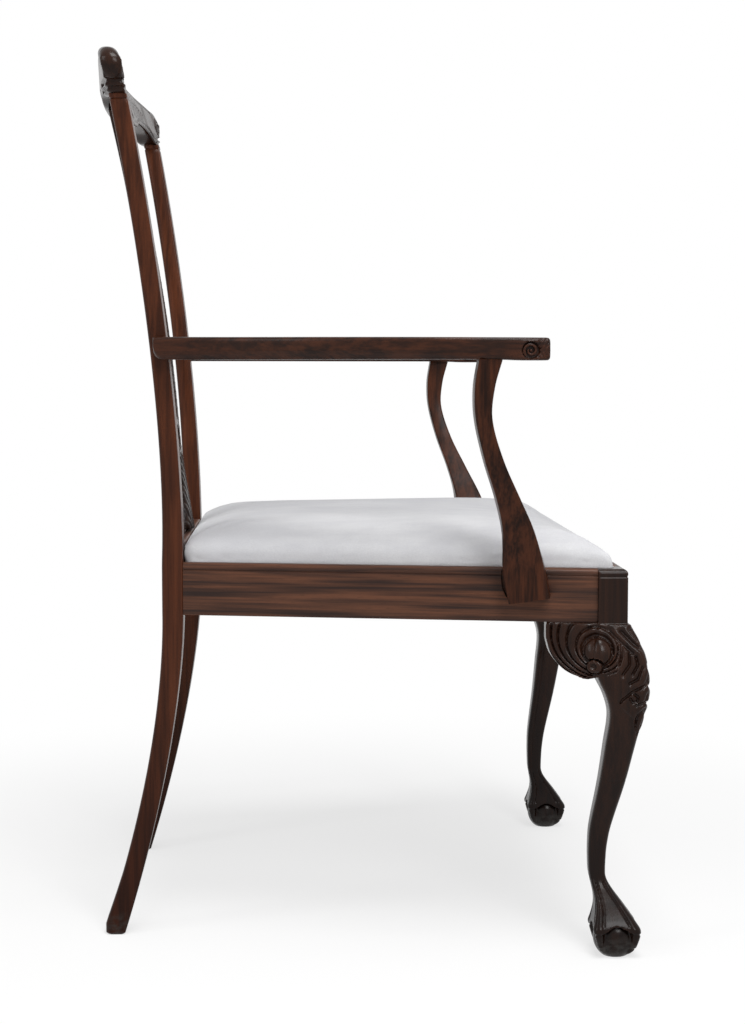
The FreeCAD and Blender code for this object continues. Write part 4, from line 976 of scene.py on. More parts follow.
# Grooves of the leaf as (distance behind the corner, height), and the edge of the leaf.
LEAF_GROOVES = (
    ((22.0, 362.0), (9.5, 349.5), (-3.0, 338.0)),
    ((8.5, 361.0), (-5.5, 347.0), (-15.5, 340.5)),
    ((-2.0, 362.0), (-9.0, 352.0), (-16.0, 343.0)),
    ((9.0, 347.0), (9.5, 334.5), (13.0, 325.0)),
    ((1.0, 338.0), (1.0, 326.0), (8.5, 316.0)),
    ((-6.0, 335.0), (-8.0, 326.0), (-2.0, 316.0)),
    ((-13.0, 323.5), (-8.0, 311.0), (1.0, 306.0)),
    ((-20.0, 313.5), (-15.5, 303.5), (-2.0, 297.0), (9.5, 287.5), (11.5, 283.5)),
    ((-4.0, 294.5), (-8.5, 291.0), (-7.0, 286.0), (-2.0, 285.5), (0.5, 289.5)),
    ((-19.0, 293.5), (-15.5, 285.0), (-6.5, 282.0)),
    ((-15.5, 277.5), (-8.0, 269.0), (-6.5, 259.0), (-11.5, 241.5)),
    ((-17.0, 268.0), (-13.0, 258.0), (-15.0, 246.0)),
)
LEAF_EDGE = ((24.0, 369.0), (20.0, 358.0), (12.0, 349.0), (12.0, 334.0), (14.0, 322.0), (16.0, 310.0), (14.5, 298.0),
             (13.0, 286.0), (8.0, 278.0), (-2.0, 268.0), (-5.0, 255.0), (-10.5, 241.0), (-16.0, 231.0))


def claw_carving(point):
    """Creases at the knuckles of the claws, and grooves beside the tendons above them."""
    shift = foot_shift(point.z)
    across = [abs(point.x - LEG_X - shift), abs(point.y - LEG_Y + shift)]
    if point.z < 30.0:
        crease = min(abs(point.z - 27.0), abs(point.z - 10.0))
        return groove(crease, 1.5, 1.2) * ease(25.0, 27.0, math.hypot(*across))
    away, radius = row_at([(-z, away, radius) for z, away, radius in CLAW_ROWS], -point.z)
    beside = abs(min(across) - 0.707 * away + 0.6 * radius)
    return groove(beside, 1.5, 1.5) * ease(90.0, 80.0, point.z) * ease(34.0, 40.0, point.z)


def knee_carving(point, normal):
    """Leaf on the knee, with a boss and gadroons spreading over the brackets."""
    if point.z < 90.0:
        return claw_carving(point)
    if point.z < 226.0 or point.z > 368.5:
        return 0.0
    side, front = point.x - CORNER_X, FRONT_Y - point.y
    a = -min(side, front)
    facing = normal.x if side > front else -normal.y
    if facing < 0.15:
        return 0.0
    z = point.z
    fade = ease(0.15, 0.5, facing) * ease(368.5, 366.0, z)
    depth = 0.0
    edge = through([(-y, x) for x, y in LEAF_EDGE], -z)
    if a < edge:
        near = min(line_distance(a, z, line) for line in LEAF_GROOVES)
        depth = 0.6 + 1.4 * ease(0.0, 6.0, near) + groove(near, 1.9, 2.4)
        depth *= ease(0.0, 1.6, edge - a)
    elif z > 300.0:
        away = math.hypot(a - BOSS[0], z - BOSS[1])
        bead = math.hypot(a - BEAD[0], z - BEAD[1])
        t = rib_share(a, z)
        if bead < BEAD[2]:
            depth = 2.4 if bead < 2.8 else 2.6 + 2.4 * math.sqrt(max(0.0, 1 - ((bead - 4.9) / 2.3) ** 2))
        elif bead < BEAD[2] + 1.4:
            depth = -1.0
        elif away < BOSS[2] + 1.6:
            depth = 4.6 * math.sqrt(max(0.0, 1 - (away / BOSS[2]) ** 2)) + groove(abs(away - BOSS[2]), 1.8, 1.7)
        elif t < 1.0:
            k = max(i for i in range(len(RIBS) - 1) if RIBS[i] <= max(t, RIBS[0]))
            share = clamp((t - RIBS[k]) / (RIBS[k + 1] - RIBS[k]))
            width = (RIBS[k + 1] - RIBS[k]) * (RIM[2] - BOSS[2])
            depth = 2.2 * lobe(0.999 * share) - 0.9 + groove(width * min(share, 1 - share), 1.5, 1.5)
        depth *= ease(0.0, 2.0, a - edge) * mix(1.0, ease(312.0, 321.0, z), ease(44.0, 37.0, a))
    return fade * depth


def front_leg():
    bm = leg_blank()
    added(bm, ball_and_claws())
    added(bm, knee_bracket(True))
    added(bm, knee_bracket(False))
    bm = carved_block(bm, sizes().leg_grain, 3)
    carve(bm, knee_carving)
    for vertex in bm.verts:
        vertex.co.z = max(0.0, vertex.co.z)
    moulded(bm, lambda point: CORNER_X - point.x, Vector((-1, 0, 0)))
    moulded(bm, front_inside, Vector((0, 1, 0)))
    return bm


class ARMCHAIR_OT_front_legs(bpy.types.Operator):
    """Carved cabriole legs with claw and ball feet and their knee brackets"""
    bl_idname = "armchair.front_legs"
    bl_label = "Front legs"

    def execute(self, context):
        finish_pair("front_leg_carved", front_leg(), ["front_leg", "side_knee_bracket", "front_knee_bracket"],
                    carved_mahogany("Z"), 60)
        return {"FINISHED"}


# ---------------------------------------------------------------- arms

# Share of the length from the post, shares of the spread outside and inside, and share of the chamfer.
ARM_ROWS = (
    (0.0, 0.0, 0.0, 0.7), (0.07, 0.035, 0.018, 0.75), (0.17, 0.135, 0.095, 0.85), (0.29, 0.32, 0.24, 1.0),
    (0.42, 0.54, 0.44, 1.0), (0.565, 0.745, 0.64, 1.0), (0.71, 0.89, 0.8, 0.8), (0.83, 0.96, 0.915, 0.3),
    (0.92, 1.0, 1.0, 0.25), (0.97, 0.995, 1.02, 0.25), (1.0, 0.985, 1.04, 0.25),
)
# Inside and outside of an arm at the post and at its scroll.
ARM_AT_POST = (217.1, 245.1)
ARM_AT_SCROLL = (334.0, 372.0)
ARM_END = 230.7
ARM_LENGTH = 420.0
ARM_BOTTOM = 654.5
ARM_THICK = 22.5
ARM_RISE = 2.5
ARM_CHAMFER = 7.0
ARM_TIP_ROUND = 3.2
ARM_TAIL_ROUND = 11.0
# Place of the scroll along Y and Z.
ARM_SCROLL = (-168.5, 663.6)


def arm_share(i):
    """Shares of the arm's length, closer together at its ends."""
    if i < 12:
        return mix(0.0, 0.03, i / 12)
    return mix(0.03, 0.97, (i - 12) / 84) if i < 96 else mix(0.97, 1.0, ((i - 96) / 12) ** 0.6)


def rounding(radius, left):
    """How far a rounded end has drawn in at a distance before the end."""
    return radius - math.sqrt(max(0.0, radius ** 2 - (radius - left) ** 2)) if left < radius else 0.0


def arm_blank():
    rings = []
    for i in range(109):
        share = arm_share(i)
        out, inside, chamfer = row_at(ARM_ROWS, share)
        y = ARM_END - ARM_LENGTH * share
        inset = rounding(ARM_TIP_ROUND, ARM_LENGTH * (1 - share))
        inner = mix(ARM_AT_POST[0], ARM_AT_SCROLL[0], inside) + inset
        outer = mix(ARM_AT_POST[1], ARM_AT_SCROLL[1], out) - inset
        low, high = ARM_BOTTOM + inset, ARM_BOTTOM + ARM_THICK + ARM_RISE * (1 - share) - inset
        low += rounding(ARM_TAIL_ROUND, ARM_LENGTH * share) - 1.2 * ease(0.85, 0.94, share)
        bevel = ARM_CHAMFER * chamfer
        corners = [Vector((inner, y, low)), Vector((outer - bevel, y, low)),
                   Vector((outer, y, low + bevel)), Vector((outer, y, high)), Vector((inner, y, high))]
        rings.append(rounded_ring(corners, (2.5, 2.0, 2.0, 4.5, 4.5)))
    return solid(rings)


def arm_carving(point, normal):
    """Scroll and leaf on both cheeks of the arm's end, and a quirk above the chamfer behind them."""
    if point.y > -132.0:
        below = ease(ARM_BOTTOM + 9.2, ARM_BOTTOM + 7.2, point.z) * ease(-130.0, -112.0, point.y)
        return -1.1 * below * ease(0.3, 0.6, normal.x) * ease(225.0, 215.0, point.y)
    y, z = point.y - ARM_SCROLL[0], point.z - ARM_SCROLL[1]
    away = math.hypot(y, z)
    depth = 0.0
    if away < 9.6:
        depth = -2.9 * ease(9.6, 8.6, away)
    elif y < -8.0:
        depth = 1.9 * lobe((y + 0.6 * abs(z)) / 4.4) - 1.1 + groove(abs(away - 10.6), 1.3, 1.3)
    return ease(0.35, 0.7, abs(normal.x)) * depth


def scroll_roll(face, outward):
    """A roll that winds into the boss of a scroll on one cheek of the arm."""
    rings = []
    for i in range(61):
        share = i / 60
        angle = math.radians(225.0 - 430.0 * share)
        out = Vector((0, -math.cos(angle), math.sin(angle)))
        radius, thick = mix(7.7, 2.9, share ** 0.85), mix(1.75, 1.1, share) * ease(-0.12, 0.08, share)
        middle = Vector((face - 1.2 * outward, *ARM_SCROLL)) + out * radius
        turns = [k * math.pi / 5 for k in range(10)]
        rings.append([middle + out * (thick * math.cos(turn)) + Vector((thick * math.sin(turn), 0, 0))
                      for turn in turns])
    bm = solid(rings)
    boss = bmesh.new()
    bmesh.ops.create_uvsphere(boss, u_segments=20, v_segments=12, radius=1.5)
    for vertex in boss.verts:
        vertex.co += Vector((face - 0.9 * outward, *ARM_SCROLL))
    return added(bm, boss)


def cheek(bm, outward):
    """Where a cheek of the arm is at the middle of its scroll."""
    y, z = ARM_SCROLL
    near = [v.co.x for v in bm.verts if abs(v.co.y - y) < 14.0 and abs(v.co.z - z) < 6.0]
    return max(near) if outward > 0 else min(near)


class ARMCHAIR_OT_arms(bpy.types.Operator):
    """Bowed arms that end in carved scrolls"""
    bl_idname = "armchair.arms"
    bl_label = "Arms"

    def execute(self, context):
        left = carved_block(arm_blank(), sizes().back_grain, 6)
        faces = [(cheek(left, outward), outward) for outward in (1, -1)]
        carve(left, arm_carving)
        for face, outward in faces:
            added(left, scroll_roll(face, outward))
        finish_pair("arm_carved", left, ["arm"], arm_mahogany(), 60)
        return {"FINISHED"}


# ---------------------------------------------------------------- arm supports

# Share of the height, forward sweep, outward spread, and how much of the foot and head width there is.
SUPPORT_ROWS = (
    (0.0, 1.07, 0.0, 0.98, 0.0), (0.14, 0.92, 0.04, 1.0, 0.0), (0.295, 0.75, 0.24, 0.6, 0.0),
    (0.43, 0.48, 0.48, 0.3, 0.0), (0.595, 0.115, 0.75, 0.09, 0.0), (0.76, -0.13, 0.91, 0.0, 0.0),
    (0.887, -0.125, 0.97, 0.0, 0.5), (1.0, 0.0, 1.0, 0.0, 1.0),
)
SUPPORT_LOW = 394.0
SUPPORT_X = (289.2, 352.0)
SUPPORT_Y = -127.8
SUPPORT_SWEEP = 48.0
SUPPORT_HALF_THICK = 14.0
# Width at the waist, and what the foot and the head add to it.
SUPPORT_WIDTHS = (17.8, 27.2, 7.0)


def arm_support():
    rings = []
    waist, at_foot, at_head = SUPPORT_WIDTHS
    for i in range(61):
        share = i / 60
        turn = math.atan(TAPER) * (1 - ease(0.05, 0.4, share))
        sweep, spread, foot, head = row_at(SUPPORT_ROWS, share)
        middle = Vector((mix(*SUPPORT_X, spread), SUPPORT_Y - SUPPORT_SWEEP * sweep,
                         mix(SUPPORT_LOW, ARM_BOTTOM, share)))
        along = Vector((-math.sin(turn), math.cos(turn), 0)) * (waist + at_foot * foot + at_head * head) / 2
        outward = Vector((math.cos(turn), math.sin(turn), 0)) * SUPPORT_HALF_THICK
        corners = [middle - along - outward, middle - along + outward, middle + along + outward,
                   middle + along - outward]
        slant = 0.16 * (1 - ease(0.0, 0.16, share))
        for corner in corners:
            corner.z -= slant * (corner.y - middle.y)
        rings.append(rounded_ring(corners, (2.0, 3.2, 3.2, 2.0)))
    return solid(rings)


class ARMCHAIR_OT_arm_supports(bpy.types.Operator):
    """Shaped supports from the side rails to the arms"""
    bl_idname = "armchair.arm_supports"
    bl_label = "Arm supports"

    def execute(self, context):
        finish_pair("arm_support_shaped", arm_support(), ["arm_support"], support_mahogany())
        return {"FINISHED"}


# ---------------------------------------------------------------- crest rail

# Upper and lower edge as (distance from the middle, height above the posts).
CREST_TOP = ((0.0, 57.0), (60.0, 56.1), (135.5, 54.1), (200.5, 51.9), (238.0, 49.5), (254.0, 48.5), (262.0, 45.0),
             (267.5, 39.0), (270.5, 33.0))
CREST_UNDER = ((0.0, 6.0), (81.0, 6.0), (122.0, 14.0), (186.0, 11.0), (213.0, 1.0), (219.0, 0.0), (248.0, 0.0),
               (254.0, 4.0), (262.0, 12.5), (267.5, 20.0), (270.5, 27.0))
CREST_HALF = CREST_TOP[-1][0]
CREST_Y = 266.2
CREST_BOW = 18.0
CREST_LEAN = 0.30
CREST_THICK = 25.0
EAR_THICK = 22.0


def ear_share(x):
    """0 along the crest rail and 1 in its ears."""
    return ease(226.0, 250.0, abs(x))


def crest_middle(x, z):
    """Middle of the thickness of the crest rail, which bows and leans back."""
    upright = 0.1 * ear_share(x) * max(0.0, z - POST_TOP - 12.0)
    return CREST_Y + CREST_LEAN * (z - POST_TOP) - upright + CREST_BOW * (1 - (x / 247.0) ** 2)


def crest_blank():
    rings = []
    count = 180
    for i in range(count + 1):
        share = 2 * i / count - 1
        x = CREST_HALF * (1.28 * share - 0.28 * share ** 3)
        top, low = through(CREST_TOP, abs(x)), through(CREST_UNDER, abs(x))
        ear = ear_share(x)
        half = mix(CREST_THICK, EAR_THICK, ear) / 2
        edge = mix(3.0, half, ear)
        belly = mix(low, 12.0, 0.9) if low < 12.0 else low + 1.0
        section = ((low, -half), (low, half), (belly, half), (top, edge), (top, -half))
        corners = [Vector((x, crest_middle(x, POST_TOP + z) + offset, POST_TOP + z)) for z, offset in section]
        under, crown = mix(3.5, 7.0, ear), mix(6.0, 12.0, ear)
        rings.append(rounded_ring(corners, (under, under, mix(12.0, 1.0, ear), crown, crown), 6))
    return solid(rings)


def crest_carving(point, normal):
    """Shell and leaves on the front, scrolls on the ears, bosses on the ends and collars above the posts."""
    x, z = abs(point.x), point.z - POST_TOP
    depth = 0.0
    if x > 213.0:
        depth += groove(abs(z - 11.5), 3.0, 3.0) + groove(abs(z - 4.6), 1.9, 1.9)
    if x > 250.0 and abs(normal.x) > 0.3:
        y = point.y - crest_middle(point.x, point.z)
        away = math.hypot(y, 0.62 * (z - 30.0))
        return depth + ease(0.3, 0.7, abs(normal.x)) * 5.5 * max(0.0, 1 - (away / 12.5) ** 2)
    if abs(normal.y) < 0.4:
        return depth
    front = ease(0.4, 0.8, -normal.y)
    top, low = through(CREST_TOP, x), through(CREST_UNDER, x)
    middle = (top + low) / 2
    rim = min(top - z, z - low)
    relief = groove(abs(rim - 6.0), 1.5, 1.2)
    if x > 232.0:
        relief = 1.4 * volute(x - 253.0, z - 26.0, 5.2, 2.4, -1.0)
    elif x < 36.0 and z > low + 3.0:
        fan = math.atan2(x, z - low + 4.0)
        radius = math.hypot(x, z - low + 4.0)
        relief = 3.2 * lobe(fan * 5.5 / math.pi + 0.5) * ease(6.0, 22.0, radius) * ease(46.0, 40.0, radius) + 0.3
        relief += groove(abs(radius - 44.0), 2.0, 1.4)
    elif x < 170.0:
        share = clamp((x - 40.0) / 128.0)
        half = 15.0 * math.sin(math.pi * share) ** 0.6
        off = abs(z - middle - 4.0 * math.sin(1.6 * math.pi * share))
        if off < half:
            vein = 0.6 + 0.4 * lobe((x - 1.1 * off) / 12.0)
            relief += 2.0 * vein * math.sqrt(1 - (off / half) ** 2) + groove(off, 1.4, 0.9)
    else:
        relief += 0.9 * ease(6.0, 10.0, rim) * ease(170.0, 186.0, x) * ease(232.0, 226.0, x)
    return depth + front * relief


class ARMCHAIR_OT_crest(bpy.types.Operator):
    """Serpentine crest rail with scrolled ears"""
    bl_idname = "armchair.crest"
    bl_label = "Crest rail"

    def execute(self, context):
        bm = carved_block(crest_blank(), sizes().back_grain, 6)
        carve(bm, crest_carving)
        finish_piece("crest_rail_carved", bm, FRAME_BODY, ["crest_rail"], carved_mahogany("X"), 60)
        return {"FINISHED"}


# ---------------------------------------------------------------- splat

SPLAT_LOW = 446.0
SPLAT_HIGH = 947.0
SPLAT_THICK = 13.0
STRAP_WIDTH = 14.0
INNER_STRAP_WIDTH = 11.5
RING_WIDTH = 9.2
RING_RADIUS = 22.0
# Straps as (share of the height, distance from the middle), and rings as (share of the height, scale).
OUTER_STRAP = ((-0.02, 43), (0.1, 33), (0.22, 36), (0.38, 62), (0.53, 80), (0.68, 74), (0.82, 62), (0.92, 72),
               (1.0, 86))
INNER_STRAP = ((-0.02, 15), (0.1, 11), (0.2, 20), (0.29, 40), (0.37, 49), (0.46, 40), (0.55, 16), (0.615, 0),
               (0.68, -16), (0.76, -40), (0.83, -51), (0.92, -40), (1.0, -30))
ARCH_STRAP = ((0.78, 62), (0.83, 52), (0.89, 34), (0.95, 14), (1.0, 6))
RINGS = ((0.615, 1.0), (0.23, 0.72))


def splat_middle(z):
    """Middle of the thickness of the splat, which follows the sweep of the posts."""
    u = max(0.0, (z - RAIL_TOP) / (POST_TOP - RAIL_TOP))
    return 213.7 + 52.5 * u ** 1.75 + 18.0 * u ** 0.75


def strap_section(width):
    """Section of a strap as (across, depth): flat behind, with a rounded reed each side of a hollow in front."""
    half, thick = width / 2, SPLAT_THICK / 2
    front = ((1.0, 2.2), (0.8, 0.3), (0.58, 0.0), (0.4, 0.9), (0.0, 1.6),
             (-0.4, 0.9), (-0.58, 0.0), (-0.8, 0.3), (-1.0, 2.2))
    back = ((-half, thick - 1.5), (-half + 1.5, thick), (half - 1.5, thick), (half, thick - 1.5))
    return back + tuple((share * half, -thick + cut) for share, cut in front)


def swept_strap(places, width, lift=None):
    """A strap along front places (x, z), with its depth following the curved back."""
    rings = []
    section = strap_section(width)
    for i, (x, z) in enumerate(places):
        x0, z0 = places[max(i - 1, 0)]
        x1, z1 = places[min(i + 1, len(places) - 1)]
        way = math.hypot(x1 - x0, z1 - z0)
        across = ((z1 - z0) / way, -(x1 - x0) / way)
        raised = lift(z) if lift else 0.0
        ring = []
        for s, depth in section:
            px, pz = x + across[0] * s, z + across[1] * s
            ring.append(Vector((px, splat_middle(pz) + depth - raised, pz)))
        rings.append(ring)
    return solid(rings)


def strap_places(rows, side, steps=70):
    """Places (x, z) along a strap on one side of the splat."""
    low, high = rows[0][0], rows[-1][0]
    shares = [mix(low, high, i / steps) for i in range(steps + 1)]
    return [(side * through(rows, share), mix(SPLAT_LOW, SPLAT_HIGH, share)) for share in shares]


def splat_ring(share, scale):
    """A round link of the strapwork."""
    middle = mix(SPLAT_LOW, SPLAT_HIGH, share)
    bm = bmesh.new()
    section = [(s, depth - 1.2) for s, depth in strap_section(RING_WIDTH)]
    radius = RING_RADIUS * scale + RING_WIDTH / 2
    rows = []
    for i in range(72):
        angle = 2 * math.pi * i / 72
        row = []
        for s, depth in section:
            reach = radius - s
            z = middle + reach * math.sin(angle)
            row.append(bm.verts.new((reach * math.cos(angle), splat_middle(z) + depth, z)))
        rows.append(row)
    for a, b in closed_pairs(rows):
        for i in range(len(section)):
            j = (i + 1) % len(section)
            bm.faces.new((a[i], a[j], b[j], b[i]))
    bmesh.ops.recalc_face_normals(bm, faces=bm.faces)
    return bm


def splat_foot():
    """Solid foot of the splat with a leaf that stands proud of it."""
    rings = []
    for i in range(22):
        z = mix(SPLAT_LOW + 0.2, SPLAT_LOW + 32.0, i / 21)
        half = 51.0 - 9.0 * math.sin(math.pi * i / 21)
        front, back = splat_middle(z) - SPLAT_THICK / 2, splat_middle(z) + SPLAT_THICK / 2
        corners = [Vector((x, y, z)) for x, y in ((-half, front), (half, front), (half, back), (-half, back))]
        rings.append(rounded_ring(corners, (3.0, 3.0, 2.0, 2.0)))
    bm = solid(rings)
    leaf = []
    for i in range(30):
        share = i / 29
        z = mix(449.0, 540.0, share)
        half = max(1.0, 27.0 * math.sqrt(max(0.0, 1 - share ** 2)) * (1 + 0.12 * math.sin(share * 9 * math.pi)))
        proud = 7.0 * (1 - share) ** 1.3 + 1.6
        y = splat_middle(z) - SPLAT_THICK / 2
        ring = [Vector((half * math.cos(t), y + 5.0 - (5.0 + proud) * max(0.0, math.sin(t)) ** 0.7
                        + 3.0 * max(0.0, -math.sin(t)), z))
                for t in (2 * math.pi * k / 24 for k in range(24))]
        leaf.append(ring)
    return added(bm, solid(leaf))


def splat_carving(point, normal):
    """Veins of the leaf at the foot of the splat."""
    if point.z > 542.0 or normal.y > -0.25 or abs(point.x) > 27.0:
        return 0.0
    x, z = abs(point.x), point.z
    vein = 1.5 * lobe((z - 1.3 * x) / 13.0) - 0.9
    return vein * ease(0.25, 0.6, -normal.y) * ease(1.5, 4.0, x) + groove(x, 1.6, -1.2)


class ARMCHAIR_OT_splat(bpy.types.Operator):
    """Pierced splat of interlaced straps with a carved leaf at its foot"""
    bl_idname = "armchair.splat"
    bl_label = "Splat"

    def execute(self, context):
        bm = splat_foot()
        for side in (1, -1):
            def crossing(z, side=side):
                return 1.5 * side * math.exp(-((z - 754.0) / 26.0) ** 2)

            added(bm, swept_strap(strap_places(OUTER_STRAP, side), STRAP_WIDTH))
            added(bm, swept_strap(strap_places(INNER_STRAP, side), INNER_STRAP_WIDTH, crossing))
            added(bm, swept_strap(strap_places(ARCH_STRAP, side, 30), INNER_STRAP_WIDTH))
        for share, scale in RINGS:
            added(bm, splat_ring(share, scale))
        bm = carved_block(bm, sizes().back_grain, 4)
        carve(bm, splat_carving)
        finish_piece("splat_carved", bm, FRAME_BODY, ["splat"], carved_mahogany("Z"), 60)
        return {"FINISHED"}


# ---------------------------------------------------------------- drop-in seat

SEAT_FRAME = ("seat_frame_front", "seat_frame_back", "left_seat_frame_side", "right_seat_frame_side")
SEAT_FRAME_PIECES = [f"{node}_shaped" for node in SEAT_FRAME]
# Distance from the outside of the rails to the sides of the drop-in seat.
SEAT_INSET = 12.5
SEAT_FRONT = FRONT_Y + SEAT_INSET
SEAT_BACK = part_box("seat_cover")[1].y / MM
SEAT_LOW = 409.0
CROWN = 0.82 * 55.0
SHOE_HALF = 174.0
# Share of the crown, insets of the sides, front and back, and radius of the corners.
CUSHION_ROWS = (
    (0.0, 0.0, 0.0, 1.0, 6.0), (0.05, -3.0, -3.0, -4.0, 6.0), (0.12, -4.5, -4.0, -6.5, 7.0),
    (0.24, -4.5, -3.0, -6.5, 8.0), (0.43, -2.0, 6.0, -5.0, 12.0), (0.62, 6.0, 24.0, 1.0, 18.0),
    (0.765, 23.0, 51.0, 14.0, 30.0), (0.875, 60.0, 92.0, 46.0, 40.0), (0.948, 108.0, 138.0, 92.0, 40.0),
    (0.988, 164.0, 187.0, 142.0, 30.0), (1.0, 203.0, 222.0, 182.0, 16.0),
)


def seat_side(y, inset):
    """Half width of the seat at y, a distance inside the outer faces of the side rails."""
    return CORNER_X - TAPER * (y - FRONT_Y) - inset * SLANT


def seat_ring(z, side, front, back, corner, shrink=0.0):
    """A level ring of the cushion, drawn in at its sides, front and back."""
    near, far = SEAT_FRONT + front + shrink, SEAT_BACK - back - shrink
    inset = SEAT_INSET + side + shrink
    corners = [Vector((-seat_side(near, inset), near, z)), Vector((seat_side(near, inset), near, z)),
               Vector((seat_side(far, inset), far, z)), Vector((-seat_side(far, inset), far, z))]
    return rounded_ring(corners, [corner] * 4, 8)


def cushion_blank():
    rings = [seat_ring(SEAT_LOW, 1.5, 1.5, 1.5, 8.0), seat_ring(SEAT_LOW + 1.5, 0.0, 0.0, 0.0, 9.0)]
    for i in range(31):
        share = 1 - (1 - i / 30) ** 2
        side, front, back, corner = row_at(CUSHION_ROWS, share)
        rings.append(seat_ring(RAIL_TOP + CROWN * share, side, front, back, corner, 1.5))
    return solid(rings)


def inflated(bm):
    """The cushion swollen by its stuffing, held where it sits inside the rails."""
    bm = evaluated(bm, lambda blank: voxels(blank, 6.0))
    to_metres(bm)
    mesh = mesh_from("cushion_blank", bm)
    start = [vertex.co.copy() for vertex in mesh.vertices]
    blank = linked("cushion_blank", mesh)
    held = blank.vertex_groups.new(name="held")
    held.add([v.index for v in mesh.vertices if v.co.z < (RAIL_TOP + 1.0) * MM], 1.0, "REPLACE")
    cloth = blank.modifiers.new("Cloth", "CLOTH")
    cloth.settings.vertex_group_mass = "held"
    cloth.settings.use_pressure = True
    cloth.settings.uniform_pressure_force = 4.0
    cloth.settings.effector_weights.gravity = 0.0
    frames = 20
    cloth.point_cache.frame_start = 1
    cloth.point_cache.frame_end = frames
    scene = bpy.context.scene
    for number in range(1, frames + 1):
        scene.frame_set(number)
    done = evaluated_mesh(blank)
    scene.frame_set(1)
    limit = sizes().swell
    for vertex, before in zip(done.vertices, start):
        move = vertex.co - before
        if move.length > limit:
            vertex.co = before + move * (limit / move.length)
    bpy.data.objects.remove(blank)
    bpy.data.meshes.remove(mesh)
    bm = taken_from(done)
    to_millimetres(bm)
    return bm


def finer(bm):
    """bm with one subdivision."""
    def prepare(blank):
        subdivision = blank.modifiers.new("Finer", "SUBSURF")
        subdivision.levels = 1
        subdivision.render_levels = 1
    return evaluated(bm, prepare)


def tucked(bm):
    """Draw the cover flat down the sides of the seat frame and square round its lower edge."""
    turn = 8.0
    inner = SEAT_INSET + 0.2 + turn
    rear = SEAT_BACK + SEAT_INSET
    for vertex in bm.verts:
        at = vertex.co
        front = front_inside(at)
        across, along = inner - side_inside(at), inner - min(front, rear - at.y)
        reach = math.hypot(max(across, 0.0), max(along, 0.0))
        if at.z > RAIL_TOP + 1.5 or not 4.0 < reach < turn + 0.3:
            continue
        grow = turn / reach - 1
        if across > 0.0:
            at.x += math.copysign(across * grow * SLANT, at.x)
        if along > 0.0:
            at.y += along * grow * (-1 if front < 100.0 else 1)
        if at.z < SEAT_LOW + 3.2:
            at.z = SEAT_LOW


class ARMCHAIR_OT_cushion(bpy.types.Operator):
    """Stuffed drop-in seat covered in velvet"""
    bl_idname = "armchair.cushion"
    bl_label = "Seat cushion"

    def execute(self, context):
        bm = cushion_blank()
        bm = inflated(bm)
        bm = finer(bm)
        gap = 0.5
        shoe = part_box("splat_shoe")[0].y / MM - gap
        for vertex in bm.verts:
            inside = min(side_inside(vertex.co), front_inside(vertex.co))
            over_rail = inside < SEAT_INSET - 0.1 or vertex.co.y > SEAT_BACK
            vertex.co.z = max(RAIL_TOP + gap if over_rail else SEAT_LOW, vertex.co.z)
            vertex.co.y = min(vertex.co.y, POST_Y - gap if abs(vertex.co.x) > SHOE_HALF else shoe)
        tucked(bm)
        cushion = finish_piece("seat_cushion", bm, SEAT_BODY, ["seat_cover", "seat_stuffing"], velvet(), 80)
        return {"FINISHED"}


class ARMCHAIR_OT_seat_frame(bpy.types.Operator):
    """Half-lapped frame inside the drop-in seat"""
    bl_idname = "armchair.seat_frame"
    bl_label = "Seat frame"

    def execute(self, context):
        for node, name in zip(SEAT_FRAME, SEAT_FRAME_PIECES):
            finish_piece(name, eased_copy(node, 0.0008, 2), SEAT_BODY, [node], beech())
        return {"FINISHED"}


def ribbon(start, end, across, thick, wave):
    """A flat band from start to end that rises and falls as it passes over and under others."""
    steps = 48
    rings = []
    for i in range(steps + 1):
        share = i / steps
        middle = start.lerp(end, share) + Vector((0, 0, wave(share)))
        up = Vector((0, 0, thick / 2))
        rings.append([middle - across - up, middle + across - up, middle + across + up, middle - across + up])
    return solid(rings)


class ARMCHAIR_OT_seat_layers(bpy.types.Operator):
    """Webbing and hessian under the stuffing"""
    bl_idname = "armchair.seat_layers"
    bl_label = "Webbing and hessian"

    def execute(self, context):
        jute = woven("jute_webbing", 0.0022, (0.36, 0.27, 0.16), (0.15, 0.10, 0.055))
        width = 50.0
        half = width / 2
        for node, lengthways in (("seat_webbing_lengthways", True), ("seat_webbing_crossways", False)):
            low, high = (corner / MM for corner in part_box(node))
            level = (low.z + high.z) / 2
            bm = bmesh.new()
            for i in range(4):
                def wave(share, flip=1 if i % 2 else -1):
                    return 0.25 * flip * math.sin(4 * math.pi * share)

                if lengthways:
                    x = 65.0 * (i - 1.5)
                    start, end = Vector((x, low.y, level)), Vector((x, high.y, level))
                    across = Vector((half, 0, 0))
                else:
                    y = (low.y + high.y) / 2 + 72.5 * (i - 1.5)
                    reach = min(high.x, seat_side(y + half, 36.0))
                    start, end = Vector((-reach, y, level)), Vector((reach, y, level))
                    across = Vector((0, half, 0))
                added(bm, ribbon(start, end, across, 1.0, wave))
            piece = finish_piece(f"{node}_woven", bm, SEAT_BODY, [node], jute)
        hessian = woven("hessian", 0.0011, (0.46, 0.36, 0.22), (0.20, 0.14, 0.08))
        flat_cloth("seat_hessian_cloth", "seat_hessian", hessian)
        return {"FINISHED"}


